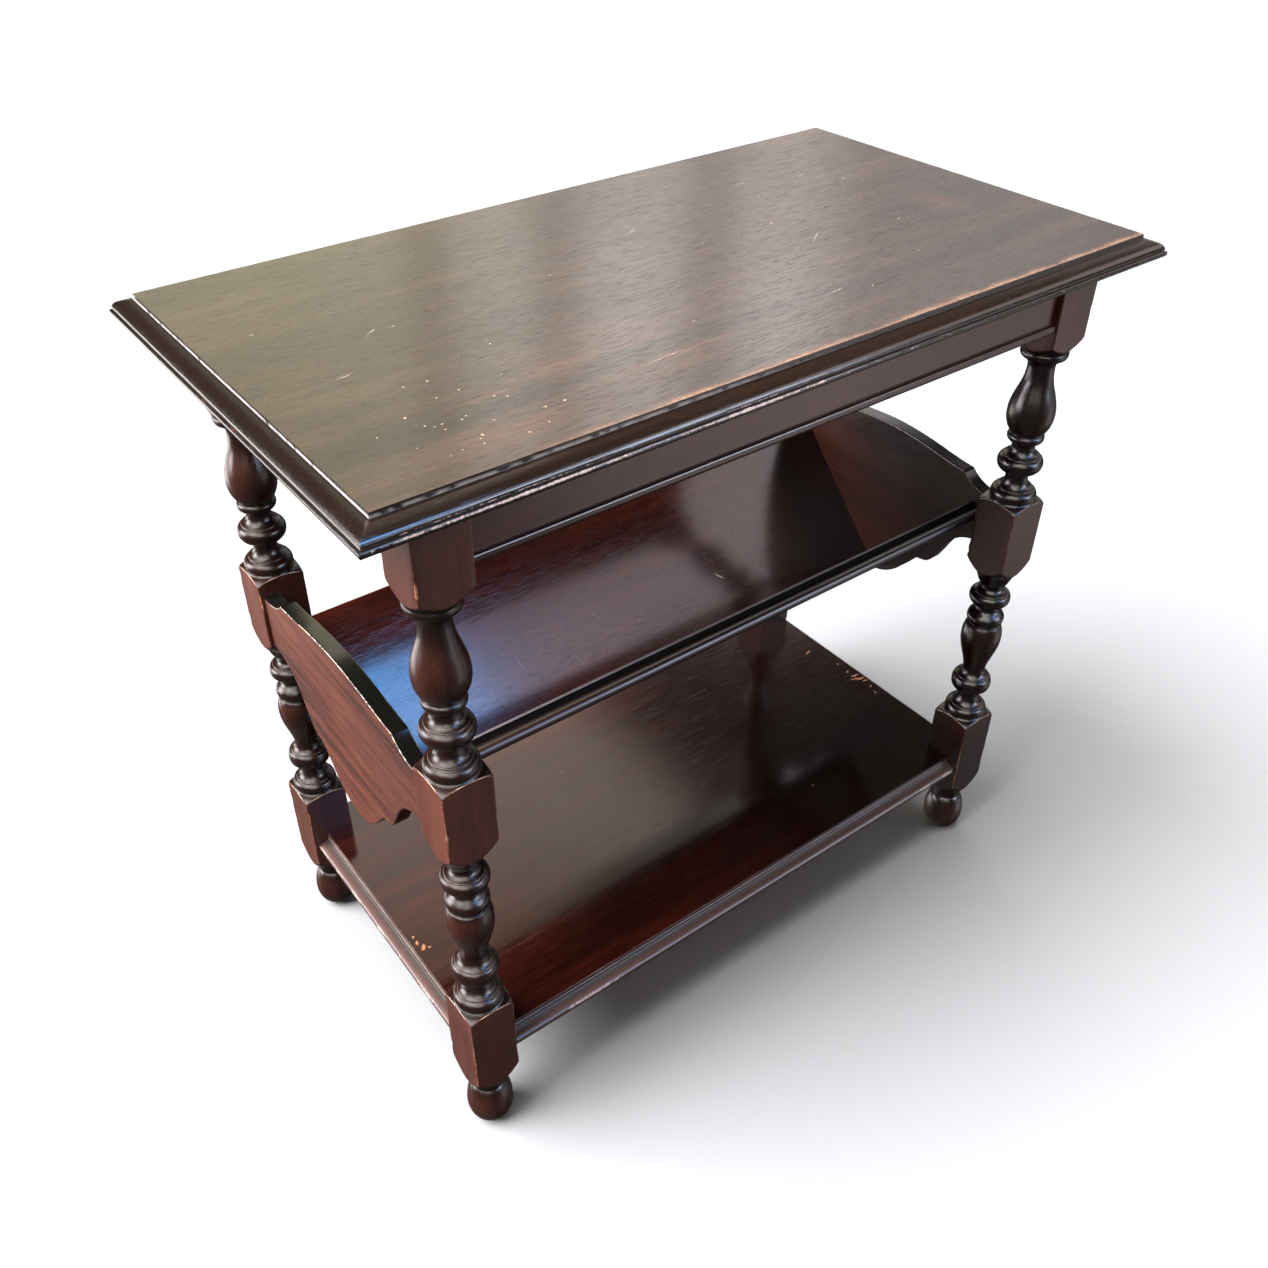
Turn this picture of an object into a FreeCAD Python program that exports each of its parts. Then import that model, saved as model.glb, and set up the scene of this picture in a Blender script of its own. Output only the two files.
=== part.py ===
import FreeCAD, Part
import os

# Magazine table with rack: four turned legs, a moulded top on a beaded apron,
# a V-shaped magazine trough between two shaped end boards, and a lower shelf.
# Millimetres, +Z up, X along the length, -Y is the front edge,
# origin on the floor under the middle of the top.

os.makedirs("parts", exist_ok=True)

V = FreeCAD.Vector

# ---------------------------------------------------------------- dimensions
height = 607.5              # floor to the upper face of the top
top_thickness = 16.0
top_field_hx = 312.4        # half size of the raised flat field of the top
top_field_hy = 169.3
top_z0 = height - top_thickness

leg_x = 268.8               # leg axes
leg_y = 138.8
block = 38.0                # square blocks on the legs
block_turn_r = 28.0         # turning radius over the blocks, outside the corners
leg_inner_x = leg_x - block / 2
leg_inner_y = leg_y - block / 2
leg_outer_x = leg_x + block / 2
leg_outer_y = leg_y + block / 2

apron_setback = 4.5         # from the outer faces of the blocks
apron_thickness = 18.0
apron_z0 = 542.5
bead_height = 6.6
bead_reach = 3.0            # how far the bead stands out from the apron
bead_depth = 5.0            # how far it is let into the apron

rack_end_thickness = 12.7
rack_end_outer_x = 284.5
rack_end_inner_x = rack_end_outer_x - rack_end_thickness

trough_slope = 1.062        # rise per mm of both boards
trough_apex_y = 6.8
trough_apex_z = 249.8
trough_back_arris_y = 104.0
trough_front_arris_y = -100.0
trough_front_thickness = 16.0
trough_back_thickness = 12.7
trough_flat_z = 242.0       # flat cut under the bottom of the V

shelf_z1 = 104.4            # upper face
shelf_thickness = 16.0
shelf_arris_hx = 273.6
shelf_arris_hy = 144.6

apron_dowel_r = 4.0
apron_dowel_half = 18.0
apron_dowel_z = (556.0, 578.0)
rack_dowel_r = 3.2
rack_dowel_half = 16.0
rack_dowel_z = (335.0, 362.0)
trough_dowel_r = 3.2
trough_dowel_in_end = 8.0
trough_dowel_in_board = 16.0
trough_dowel_at = (0.28, 0.78)   # along the width of each board
shelf_dowel_r = 4.0
shelf_dowel_half = 18.0

glue_block = 22.0
glue_block_length = 70.0
glue_block_x = 140.0
screw_r = 2.0
screw_head_r = 4.2
screw_head_h = 2.6
screw_length = 30.0


# ---------------------------------------------------------------- helpers
def chain(points):
    """Edges through a list of ('L', p) and ('B', c1, c2, p) steps."""
    edges = []
    here = points[0][1]
    for step in points[1:]:
        if step[0] == "L":
            edges.append(Part.LineSegment(here, step[1]).toShape())
        else:
            curve = Part.BezierCurve()
            curve.setPoles([here, step[1], step[2], step[3]])
            edges.append(curve.toShape())
        here = step[-1]
    return edges


def spline(points):
    curve = Part.BSplineCurve()
    curve.interpolate(points)
    return curve.toShape()


def line(a, b):
    return Part.LineSegment(a, b).toShape()


def prism(edges, direction):
    return Part.Face(Part.Wire(edges)).extrude(direction)


def box(x0, x1, y0, y1, z0, z1):
    return Part.makeBox(x1 - x0, y1 - y0, z1 - z0, V(x0, y0, z0))


def rod(r, start, direction, length):
    return Part.makeCylinder(r, length, start, direction)


def save(name, shapes):
    solids = []
    for s in shapes:
        solids.extend(s.Solids)
    shape = solids[0] if len(solids) == 1 else Part.makeCompound(solids)
    shape.exportStep("parts/%s.step" % name)


# Edge mouldings as (kind, out, down) steps, from the arris of the flat face.
top_edge = [
    ("L", (0.0, 0.0)), ("L", (0.3, 3.4)), ("L", (0.8, 3.7)),
    ("B", (5.2, 4.7), (11.6, 5.6), (12.3, 10.8)), ("L", (11.7, 11.5)),
    ("B", (13.4, 11.5), (14.1, 12.5), (13.9, 13.9)),
    ("B", (13.8, 15.2), (13.0, 15.8), (12.2, top_thickness)),
]
nosing_edge = [
    ("L", (0.0, 0.0)), ("L", (0.2, 3.4)), ("L", (0.7, 3.7)),
    ("B", (0.9, 5.8), (2.2, 7.0), (4.0, 7.2)), ("L", (4.0, 7.6)),
    ("B", (7.4, 7.7), (10.4, 8.8), (10.4, 11.6)),
    ("B", (10.4, 14.0), (8.8, 15.7), (6.0, shelf_thickness)),
]


def moulded_board(hx, hy, z1, thickness, edge):
    """A board whose four sides carry the same moulding, mitred at the corners."""
    def slab(h, make, direction):
        right, left = [], []
        for step in edge:
            right.append((step[0],) + tuple(make(h + o, z1 - d) for o, d in step[1:]))
            left.append((step[0],) + tuple(make(-h - o, z1 - d) for o, d in step[1:]))
        edges = chain(right) + chain(left)
        edges.append(line(right[0][-1], left[0][-1]))
        edges.append(line(right[-1][-1], left[-1][-1]))
        wire = Part.Wire(Part.__sortEdges__(edges))
        return Part.Face(wire).extrude(direction)
    reach_x, reach_y = hx + 60.0, hy + 60.0
    along_x = slab(hy, lambda o, z: V(-reach_x, o, z), V(2 * reach_x, 0, 0))
    along_y = slab(hx, lambda o, z: V(o, -reach_y, z), V(0, 2 * reach_y, 0))
    return along_x.common(along_y)


# ---------------------------------------------------------------- legs
# Turned outline of one leg from the top down, (radius, height).
R = block_turn_r
leg_outline = [
    ("L", (R, top_z0)), ("L", (R, 533.0)),
    ("B", (25.5, 527.0), (20.5, 526.0), (18.2, 521.5)), ("L", (17.6, 520.0)),
    ("B", (18.6, 518.5), (18.4, 515.5), (17.0, 514.2)),
    ("B", (14.0, 512.8), (11.2, 510.5), (10.6, 507.0)),
    ("B", (10.4, 503.0), (10.6, 500.0), (11.4, 495.0)),
    ("B", (13.2, 486.0), (18.6, 477.0), (18.6, 465.0)),
    ("B", (18.6, 457.5), (16.0, 452.0), (13.0, 448.4)), ("L", (13.0, 447.6)),
    ("B", (15.2, 446.8), (15.2, 442.0), (13.0, 441.2)),
    ("B", (10.5, 440.2), (9.2, 438.2), (9.2, 435.6)),
    ("B", (9.4, 431.4), (11.6, 429.2), (14.6, 428.0)),
    ("L", (14.6, 427.2)), ("L", (15.2, 426.8)),
    ("B", (18.6, 425.3), (18.9, 420.2), (17.2, 417.0)),
    ("B", (15.6, 414.3), (12.8, 413.0), (11.0, 412.2)), ("L", (9.6, 411.6)),
    ("B", (8.8, 409.2), (8.9, 407.0), (9.4, 404.8)),
    ("B", (10.2, 401.4), (12.0, 399.6), (14.4, 398.6)),
    ("L", (14.4, 397.6)), ("L", (15.8, 396.8)),
    ("B", (19.0, 395.4), (19.2, 389.8), (17.8, 388.4)),
    ("L", (18.6, 387.8)), ("L", (18.9, 387.2)),
    ("B", (23.0, 386.6), (27.2, 384.0), (R, 379.0)), ("L", (R, 329.0)),
    ("B", (25.2, 323.0), (21.5, 318.0), (17.5, 314.0)),
    ("B", (15.5, 311.5), (14.8, 307.0), (12.6, 302.5)),
    ("B", (10.5, 300.0), (9.3, 298.5), (9.2, 296.8)),
    ("B", (9.4, 294.2), (11.4, 292.8), (14.2, 292.0)),
    ("L", (14.2, 291.2)), ("L", (14.8, 290.8)),
    ("B", (18.0, 289.6), (18.3, 283.6), (16.2, 281.0)),
    ("B", (14.0, 278.6), (11.0, 277.2), (10.2, 275.6)),
    ("B", (9.8, 273.8), (10.4, 272.2), (11.6, 270.8)),
    ("B", (13.5, 269.2), (16.0, 267.0), (16.0, 263.8)),
    ("B", (16.0, 261.6), (15.4, 259.9), (14.6, 258.6)),
    ("L", (13.4, 257.8)), ("L", (13.4, 256.8)), ("L", (14.6, 256.2)),
    ("B", (16.4, 253.2), (17.6, 247.8), (17.6, 242.0)),
    ("B", (17.6, 229.0), (11.2, 217.5), (9.9, 205.0)),
    ("B", (9.8, 201.2), (11.4, 198.6), (14.4, 197.0)),
    ("L", (14.4, 196.2)), ("L", (15.0, 195.8)),
    ("B", (18.0, 194.4), (18.3, 186.6), (16.6, 183.6)),
    ("B", (14.5, 180.4), (11.2, 178.8), (10.0, 177.2)),
    ("B", (9.0, 174.4), (9.2, 172.2), (9.8, 170.2)),
    ("B", (11.0, 166.6), (12.6, 165.0), (14.9, 164.0)),
    ("L", (14.9, 163.0)), ("L", (16.2, 162.2)),
    ("B", (19.0, 160.8), (19.2, 154.8), (17.8, 153.4)),
    ("L", (18.6, 152.8)), ("L", (18.9, 152.2)),
    ("B", (23.0, 151.6), (27.2, 149.0), (R, 143.6)), ("L", (R, 76.0)),
    ("B", (25.0, 69.0), (21.0, 63.0), (17.5, 58.0)),
    ("B", (15.5, 54.5), (14.0, 50.5), (12.8, 46.6)), ("L", (12.4, 43.8)),
    ("B", (15.5, 41.0), (18.6, 31.0), (18.6, 20.5)),
    ("B", (18.6, 11.0), (14.5, 2.5), (6.0, 0.0)),
]


def turned_leg():
    steps = [(s[0],) + tuple(V(r, 0, z) for r, z in s[1:]) for s in leg_outline]
    edges = chain(steps)
    foot, head = V(0, 0, 0), V(0, 0, top_z0)
    edges.append(line(steps[-1][-1], foot))
    edges.append(line(foot, head))
    edges.append(line(head, steps[0][-1]))
    turned = Part.Face(Part.Wire(edges)).revolve(V(0, 0, 0), V(0, 0, 1), 360)
    square = box(-block / 2, block / 2, -block / 2, block / 2, 0, top_z0)
    return turned.common(square)


corners = {
    "front_left": (-1, -1), "front_right": (1, -1),
    "back_left": (-1, 1), "back_right": (1, 1),
}
leg_solid = turned_leg()
legs = {}
for name, (sx, sy) in corners.items():
    leg = leg_solid.copy()
    leg.translate(V(sx * leg_x, sy * leg_y, 0))
    legs[name] = leg

# ---------------------------------------------------------------- top
tabletop = moulded_board(top_field_hx, top_field_hy, height, top_thickness, top_edge)

# ---------------------------------------------------------------- aprons
apron_out_x = leg_outer_x - apron_setback
apron_out_y = leg_outer_y - apron_setback
apron_in_x = apron_out_x - apron_thickness
apron_in_y = apron_out_y - apron_thickness
bead_z1 = apron_z0 + bead_height


def bead_strip(length):
    """Half-round nosed strip along X, its outer side towards -Y."""
    z0, z1, zm = apron_z0, bead_z1, apron_z0 + bead_height / 2
    y_in, y_face, y_tip = bead_depth, 0.0, -bead_reach
    steps = [
        ("L", V(0, y_in, z0)), ("L", V(0, y_face, z0)),
        ("B", V(0, y_tip * 0.9, z0), V(0, y_tip, z0 + 1.2), V(0, y_tip, zm)),
        ("B", V(0, y_tip, z1 - 1.2), V(0, y_tip * 0.9, z1), V(0, y_face, z1)),
        ("L", V(0, y_in, z1)), ("L", V(0, y_in, z0)),
    ]
    strip = prism(chain(steps), V(length, 0, 0))
    strip.translate(V(-length / 2, 0, 0))
    return strip


def on_side(shape, side, offset):
    """Places a shape made along X for the front on the given side."""
    s = shape.copy()
    turn = {"front": 0, "right": 90, "back": 180, "left": 270}[side]
    s.translate(V(0, -offset, 0))
    s.rotate(V(0, 0, 0), V(0, 0, 1), turn)
    return s


aprons, beads = {}, {}
for side in ("front", "back", "left", "right"):
    long_side = side in ("front", "back")
    half = leg_inner_x if long_side else leg_inner_y
    out = apron_out_y if long_side else apron_out_x
    board = box(-half, half, 0, apron_thickness, apron_z0, top_z0)
    rebate = box(-half, half, 0, bead_depth, apron_z0, bead_z1)
    aprons[side] = on_side(board.cut(rebate), side, out)
    beads[side] = on_side(bead_strip(2 * half), side, out)

# Dowels between the aprons and the legs.
apron_dowels = []
for name, (sx, sy) in corners.items():
    for z in apron_dowel_z:
        ym = sy * (apron_out_y - apron_thickness / 2 - 1.0)
        xm = sx * (apron_out_x - apron_thickness / 2 - 1.0)
        apron_dowels.append(rod(apron_dowel_r, V(sx * leg_inner_x - apron_dowel_half, ym, z),
                                V(1, 0, 0), 2 * apron_dowel_half))
        apron_dowels.append(rod(apron_dowel_r, V(xm, sy * leg_inner_y - apron_dowel_half, z),
                                V(0, 1, 0), 2 * apron_dowel_half))

# ---------------------------------------------------------------- rack ends
end_top = [(0.0, 393.5), (22.0, 392.5), (46.0, 390.0), (67.0, 386.9), (86.0, 385.0)]
end_top_cove = [(86.0, 385.0), (92.0, 380.0), (100.0, 376.0), (110.0, 373.6), (leg_inner_y, 373.0)]
end_lobe = [(0.0, 238.0), (14.5, 241.2), (29.5, 251.5), (40.0, 263.5), (51.0, 276.0)]
end_bump = [(51.0, 276.0), (59.0, 277.6), (64.8, 280.4), (67.5, 284.0)]
end_cove = [(67.5, 284.0), (72.5, 293.0), (77.5, 302.5), (83.0, 311.0), (90.0, 318.0),
            (97.0, 322.5), (104.0, 325.2), (leg_inner_y, 327.0)]


def end_board():
    x = -rack_end_outer_x

    def pts(rows, s):
        return [V(x, s * y, z) for y, z in rows]
    edges = []
    edges.append(spline(pts(end_top[::-1], -1) + pts(end_top[1:], 1)))
    edges.append(spline(pts(end_lobe[::-1], -1) + pts(end_lobe[1:], 1)))
    for s in (-1, 1):
        edges.append(spline(pts(end_top_cove, s)))
        edges.append(spline(pts(end_bump, s)))
        edges.append(spline(pts(end_cove, s)))
        edges.append(line(pts(end_top_cove, s)[-1], pts(end_cove, s)[-1]))
    wire = Part.Wire(Part.__sortEdges__(edges))
    return Part.Face(wire).extrude(V(rack_end_thickness, 0, 0))


rack_end_left = end_board()
rack_end_right = rack_end_left.copy()
rack_end_right.rotate(V(0, 0, 0), V(0, 0, 1), 180)

rack_end_dowels = []
rack_mid_x = rack_end_outer_x - rack_end_thickness / 2
for sx, sy in corners.values():
    for z in rack_dowel_z:
        rack_end_dowels.append(rod(rack_dowel_r, V(sx * rack_mid_x, sy * leg_inner_y - rack_dowel_half, z),
                                   V(0, 1, 0), 2 * rack_dowel_half))

# ---------------------------------------------------------------- trough
norm = (1 + trough_slope ** 2) ** 0.5
run, rise = 1 / norm, trough_slope / norm
trough_half = rack_end_inner_x


def trough_point(y, z):
    return V(-trough_half, y, z)


def front_board():
    """Moulded on its upper edge, its inner face runs past the foot of the back board."""
    ay = trough_front_arris_y
    az = trough_apex_z + trough_slope * (trough_apex_y - ay)

    def at(out, down):
        # out: along the face, up and to the front; down: through the thickness
        return trough_point(ay - run * out - rise * down, az + rise * out - run * down)
    steps = [(s[0],) + tuple(at(o, d) for o, d in s[1:]) for s in nosing_edge]
    low = -(trough_apex_y - ay) * norm - 60.0
    steps.append(("L", at(low, trough_front_thickness)))
    steps.append(("L", at(low, 0.0)))
    steps.append(("L", at(0.0, 0.0)))
    return prism(chain(steps), V(2 * trough_half, 0, 0))


def back_board():
    ay = trough_back_arris_y
    az = trough_apex_z + trough_slope * (ay - trough_apex_y)

    def at(out, down):
        return trough_point(ay + run * out + rise * down, az + rise * out - run * down)
    low = -(ay - trough_apex_y) * norm - 60.0
    t = trough_back_thickness
    steps = [("L", at(0, 0)), ("L", at(0, t)), ("L", at(low, t)), ("L", at(low, 0)), ("L", at(0, 0))]
    return prism(chain(steps), V(2 * trough_half, 0, 0))


trough_front = front_board()
trough_back = back_board()
below = box(-400, 400, -400, 400, -100, trough_flat_z)
trough_front = trough_front.cut(below)
# The back board stops against the inner face of the front board.
front_side = prism(chain([
    ("L", trough_point(trough_apex_y - 100 * run, trough_apex_z + 100 * rise)),
    ("L", trough_point(trough_apex_y + 150 * run, trough_apex_z - 150 * rise)),
    ("L", trough_point(trough_apex_y + 150 * run - 200 * rise, trough_apex_z - 150 * rise - 200 * run)),
    ("L", trough_point(trough_apex_y - 100 * run - 200 * rise, trough_apex_z + 100 * rise - 200 * run)),
    ("L", trough_point(trough_apex_y - 100 * run, trough_apex_z + 100 * rise)),
]), V(2 * trough_half, 0, 0))
trough_back = trough_back.cut(front_side).cut(below)
# The tail of the front board past the foot of the back board is cut off flush.
tail = prism(chain([
    ("L", trough_point(trough_apex_y + trough_back_thickness * rise, trough_apex_z - trough_back_thickness * run)),
    ("L", trough_point(trough_apex_y + trough_back_thickness * rise + 90 * run,
                       trough_apex_z - trough_back_thickness * run - 90 * rise)),
    ("L", trough_point(trough_apex_y + trough_back_thickness * rise + 90 * run - 60 * rise,
                       trough_apex_z - trough_back_thickness * run - 90 * rise - 60 * run)),
    ("L", trough_point(trough_apex_y + trough_back_thickness * rise,
                       trough_apex_z - trough_back_thickness * run)),
]), V(2 * trough_half, 0, 0))
trough_front = trough_front.cut(tail)

trough_dowels = []
front_len = (trough_apex_y - trough_front_arris_y) * norm
back_len = (trough_back_arris_y - trough_apex_y) * norm
for sx in (-1, 1):
    for part in trough_dowel_at:
        o = front_len * part
        d = trough_front_thickness / 2
        fy = trough_apex_y - run * o - rise * d
        fz = trough_apex_z + rise * o - run * d
        o = back_len * part
        d = trough_back_thickness / 2
        by = trough_apex_y + run * o + rise * d
        bz = trough_apex_z + rise * o - run * d
        for y, z in ((fy, fz), (by, bz)):
            start = V(sx * (rack_end_inner_x + trough_dowel_in_end), y, z)
            trough_dowels.append(rod(trough_dowel_r, start, V(-sx, 0, 0),
                                     trough_dowel_in_end + trough_dowel_in_board))

# ---------------------------------------------------------------- shelf
lower_shelf = moulded_board(shelf_arris_hx, shelf_arris_hy, shelf_z1, shelf_thickness, nosing_edge)
shelf_dowels = []
shelf_mid = shelf_z1 - shelf_thickness / 2
for sx, sy in corners.values():
    x0, x1 = sorted((sx * leg_inner_x, sx * (leg_inner_x + 80)))
    y0, y1 = sorted((sy * leg_inner_y, sy * (leg_inner_y + 80)))
    lower_shelf = lower_shelf.cut(box(x0, x1, y0, y1, shelf_z1 - 60, shelf_z1 + 20))
    shelf_dowels.append(rod(shelf_dowel_r, V(sx * leg_inner_x - shelf_dowel_half, sy * (leg_y - 8), shelf_mid),
                            V(1, 0, 0), 2 * shelf_dowel_half))

# ---------------------------------------------------------------- top fixings
glue_blocks, top_screws = [], []
gz0 = top_z0 - glue_block
spots = []
for sx in (-1, 1):
    for sy in (-1, 1):
        spots.append(("x", sx * glue_block_x, sy * (apron_in_y - glue_block / 2)))
    spots.append(("y", sx * (apron_in_x - glue_block / 2), 0.0))
for along, x, y in spots:
    lx, ly = (glue_block_length, glue_block) if along == "x" else (glue_block, glue_block_length)
    piece = box(x - lx / 2, x + lx / 2, y - ly / 2, y + ly / 2, gz0, top_z0)
    shank = rod(screw_r, V(x, y, gz0), V(0, 0, 1), screw_length)
    head = Part.makeCone(screw_head_r, screw_r, screw_head_h, V(x, y, gz0), V(0, 0, 1))
    screw = shank.fuse(head).removeSplitter()
    glue_blocks.append(piece.cut(screw))
    top_screws.append(screw)
    tabletop = tabletop.cut(screw)


# ---------------------------------------------------------------- holes
def bore(shape, pins):
    for pin in pins:
        if shape.BoundBox.intersect(pin.BoundBox):
            shape = shape.cut(pin)
    return shape


for name in legs:
    legs[name] = bore(legs[name], apron_dowels + rack_end_dowels + shelf_dowels)
for side in aprons:
    aprons[side] = bore(aprons[side], apron_dowels)
rack_end_left = bore(rack_end_left, rack_end_dowels + trough_dowels)
rack_end_right = bore(rack_end_right, rack_end_dowels + trough_dowels)
trough_front = bore(trough_front, trough_dowels)
trough_back = bore(trough_back, trough_dowels)
lower_shelf = bore(lower_shelf, shelf_dowels)

# ---------------------------------------------------------------- export
save("tabletop", [tabletop])
for name, leg in legs.items():
    save("leg_" + name, [leg])
for side in aprons:
    save("apron_" + side, [aprons[side]])
    save("apron_bead_" + side, [beads[side]])
save("rack_end_left", [rack_end_left])
save("rack_end_right", [rack_end_right])
save("trough_front_board", [trough_front])
save("trough_back_board", [trough_back])
save("lower_shelf", [lower_shelf])
save("apron_dowels", apron_dowels)
save("rack_end_dowels", rack_end_dowels)
save("trough_dowels", trough_dowels)
save("shelf_dowels", shelf_dowels)
save("top_glue_blocks", glue_blocks)
save("top_screws", top_screws)
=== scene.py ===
import bpy
import bmesh
import math
import numpy as np
from mathutils import Matrix


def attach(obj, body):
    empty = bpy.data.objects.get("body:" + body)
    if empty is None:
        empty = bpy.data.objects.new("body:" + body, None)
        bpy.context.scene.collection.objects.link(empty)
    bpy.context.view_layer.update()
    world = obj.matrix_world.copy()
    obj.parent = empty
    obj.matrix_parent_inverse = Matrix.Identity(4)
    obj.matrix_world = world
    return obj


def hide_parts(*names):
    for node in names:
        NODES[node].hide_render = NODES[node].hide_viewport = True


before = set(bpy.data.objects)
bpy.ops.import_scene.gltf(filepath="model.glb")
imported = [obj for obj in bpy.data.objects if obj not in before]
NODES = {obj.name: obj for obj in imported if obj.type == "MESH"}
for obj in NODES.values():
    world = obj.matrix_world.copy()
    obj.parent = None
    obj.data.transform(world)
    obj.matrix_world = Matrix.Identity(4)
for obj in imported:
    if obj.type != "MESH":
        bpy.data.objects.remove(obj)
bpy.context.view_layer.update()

# ------------------------------------------------------------------ sizes, mm
HEIGHT, TOP_T = 607.5, 16.0
TOP_Z0 = HEIGHT - TOP_T
FIELD_X, FIELD_Y = 312.4, 169.3
LEG_X, LEG_Y, BLOCK, TURN_R = 268.8, 138.8, 38.0, 28.0
IN_X, IN_Y = LEG_X - BLOCK / 2, LEG_Y - BLOCK / 2
OUT_X, OUT_Y = LEG_X + BLOCK / 2, LEG_Y + BLOCK / 2
APRON_OUT_X, APRON_OUT_Y, APRON_T, APRON_Z0 = OUT_X - 4.5, OUT_Y - 4.5, 18.0, 542.5
BEAD_H, BEAD_REACH, BEAD_DEPTH = 6.6, 3.0, 5.0
END_OUT, END_T = 284.5, 12.7
SLOPE, APEX_Y, APEX_Z = 1.062, 6.8, 249.8
BACK_Y, FRONT_Y, FRONT_T, BACK_T, FLAT_Z = 104.0, -100.0, 16.0, 12.7, 242.0
SHELF_Z1, SHELF_T, SHELF_X, SHELF_Y = 104.4, 16.0, 273.6, 144.6

TOP_EDGE = [
    ("L", (0.0, 0.0)), ("L", (0.3, 3.4)), ("L", (0.8, 3.7)),
    ("B", (5.2, 4.7), (11.6, 5.6), (12.3, 10.8)), ("L", (11.7, 11.5)),
    ("B", (13.4, 11.5), (14.1, 12.5), (13.9, 13.9)),
    ("B", (13.8, 15.2), (13.0, 15.8), (12.2, TOP_T)),
]
NOSING = [
    ("L", (0.0, 0.0)), ("L", (0.2, 3.4)), ("L", (0.7, 3.7)),
    ("B", (0.9, 5.8), (2.2, 7.0), (4.0, 7.2)), ("L", (4.0, 7.6)),
    ("B", (7.4, 7.7), (10.4, 8.8), (10.4, 11.6)),
    ("B", (10.4, 14.0), (8.8, 15.7), (6.0, SHELF_T)),
]
# the front board of the trough: narrow fillet, sunk dark groove, broad bead
TROUGH_NOSING = [
    ("L", (0.0, 0.0)), ("L", (0.25, 1.6)), ("L", (-1.2, 2.0)), ("L", (-1.0, 6.1)), ("L", (0.8, 6.6)),
    ("B", (4.6, 7.0), (10.3, 8.4), (10.4, 11.6)),
    ("B", (10.4, 14.0), (8.8, 15.7), (6.0, SHELF_T)),
]
R = TURN_R
LEG = [
    ("L", (R, TOP_Z0)), ("L", (R, 533.0)),
    ("B", (25.5, 527.0), (20.5, 526.0), (18.2, 521.5)), ("L", (17.6, 520.0)),
    ("B", (18.6, 518.5), (18.4, 515.5), (17.0, 514.2)),
    ("B", (14.0, 512.8), (11.2, 510.5), (10.6, 507.0)),
    ("B", (10.4, 503.0), (10.6, 500.0), (11.4, 495.0)),
    ("B", (13.2, 486.0), (18.6, 477.0), (18.6, 465.0)),
    ("B", (18.6, 457.5), (16.0, 452.0), (13.0, 448.4)), ("L", (13.0, 447.6)),
    ("B", (15.2, 446.8), (15.2, 442.0), (13.0, 441.2)),
    ("B", (10.5, 440.2), (9.2, 438.2), (9.2, 435.6)),
    ("B", (9.4, 431.4), (11.6, 429.2), (14.6, 428.0)),
    ("L", (14.6, 427.2)), ("L", (15.2, 426.8)),
    ("B", (18.6, 425.3), (18.9, 420.2), (17.2, 417.0)),
    ("B", (15.6, 414.3), (12.8, 413.0), (11.0, 412.2)), ("L", (9.6, 411.6)),
    ("B", (8.8, 409.2), (8.9, 407.0), (9.4, 404.8)),
    ("B", (10.2, 401.4), (12.0, 399.6), (14.4, 398.6)),
    ("L", (14.4, 397.6)), ("L", (15.8, 396.8)),
    ("B", (19.0, 395.4), (19.2, 389.8), (17.8, 388.4)),
    ("L", (18.6, 387.8)), ("L", (18.9, 387.2)),
    ("B", (23.0, 386.6), (27.2, 384.0), (R, 379.0)), ("L", (R, 329.0)),
    ("B", (25.2, 323.0), (21.5, 318.0), (17.5, 314.0)),
    ("B", (15.5, 311.5), (14.8, 307.0), (12.6, 302.5)),
    ("B", (10.5, 300.0), (9.3, 298.5), (9.2, 296.8)),
    ("B", (9.4, 294.2), (11.4, 292.8), (14.2, 292.0)),
    ("L", (14.2, 291.2)), ("L", (14.8, 290.8)),
    ("B", (18.0, 289.6), (18.3, 283.6), (16.2, 281.0)),
    ("B", (14.0, 278.6), (11.0, 277.2), (10.2, 275.6)),
    ("B", (9.8, 273.8), (10.4, 272.2), (11.6, 270.8)),
    ("B", (13.5, 269.2), (16.0, 267.0), (16.0, 263.8)),
    ("B", (16.0, 261.6), (15.4, 259.9), (14.6, 258.6)),
    ("L", (13.4, 257.8)), ("L", (13.4, 256.8)), ("L", (14.6, 256.2)),
    ("B", (16.4, 253.2), (17.6, 247.8), (17.6, 242.0)),
    ("B", (17.6, 229.0), (11.2, 217.5), (9.9, 205.0)),
    ("B", (9.8, 201.2), (11.4, 198.6), (14.4, 197.0)),
    ("L", (14.4, 196.2)), ("L", (15.0, 195.8)),
    ("B", (18.0, 194.4), (18.3, 186.6), (16.6, 183.6)),
    ("B", (14.5, 180.4), (11.2, 178.8), (10.0, 177.2)),
    ("B", (9.0, 174.4), (9.2, 172.2), (9.8, 170.2)),
    ("B", (11.0, 166.6), (12.6, 165.0), (14.9, 164.0)),
    ("L", (14.9, 163.0)), ("L", (16.2, 162.2)),
    ("B", (19.0, 160.8), (19.2, 154.8), (17.8, 153.4)),
    ("L", (18.6, 152.8)), ("L", (18.9, 152.2)),
    ("B", (23.0, 151.6), (27.2, 149.0), (R, 143.6)), ("L", (R, 76.0)),
    ("B", (25.0, 69.0), (21.0, 63.0), (17.5, 58.0)),
    ("B", (15.5, 54.5), (14.0, 50.5), (12.8, 46.6)), ("L", (12.4, 43.8)),
    ("B", (15.5, 41.0), (18.6, 31.0), (18.6, 20.5)),
    ("B", (18.6, 11.0), (14.5, 2.5), (6.0, 0.0)),
]
END_TOP = [(0.0, 393.5), (22.0, 392.5), (46.0, 390.0), (67.0, 386.9), (86.0, 385.0)]
END_TOP_COVE = [(86.0, 385.0), (92.0, 380.0), (100.0, 376.0), (110.0, 373.6), (IN_Y, 373.0)]
END_LOBE = [(0.0, 238.0), (14.5, 241.2), (29.5, 251.5), (40.0, 263.5), (51.0, 276.0)]
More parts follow.
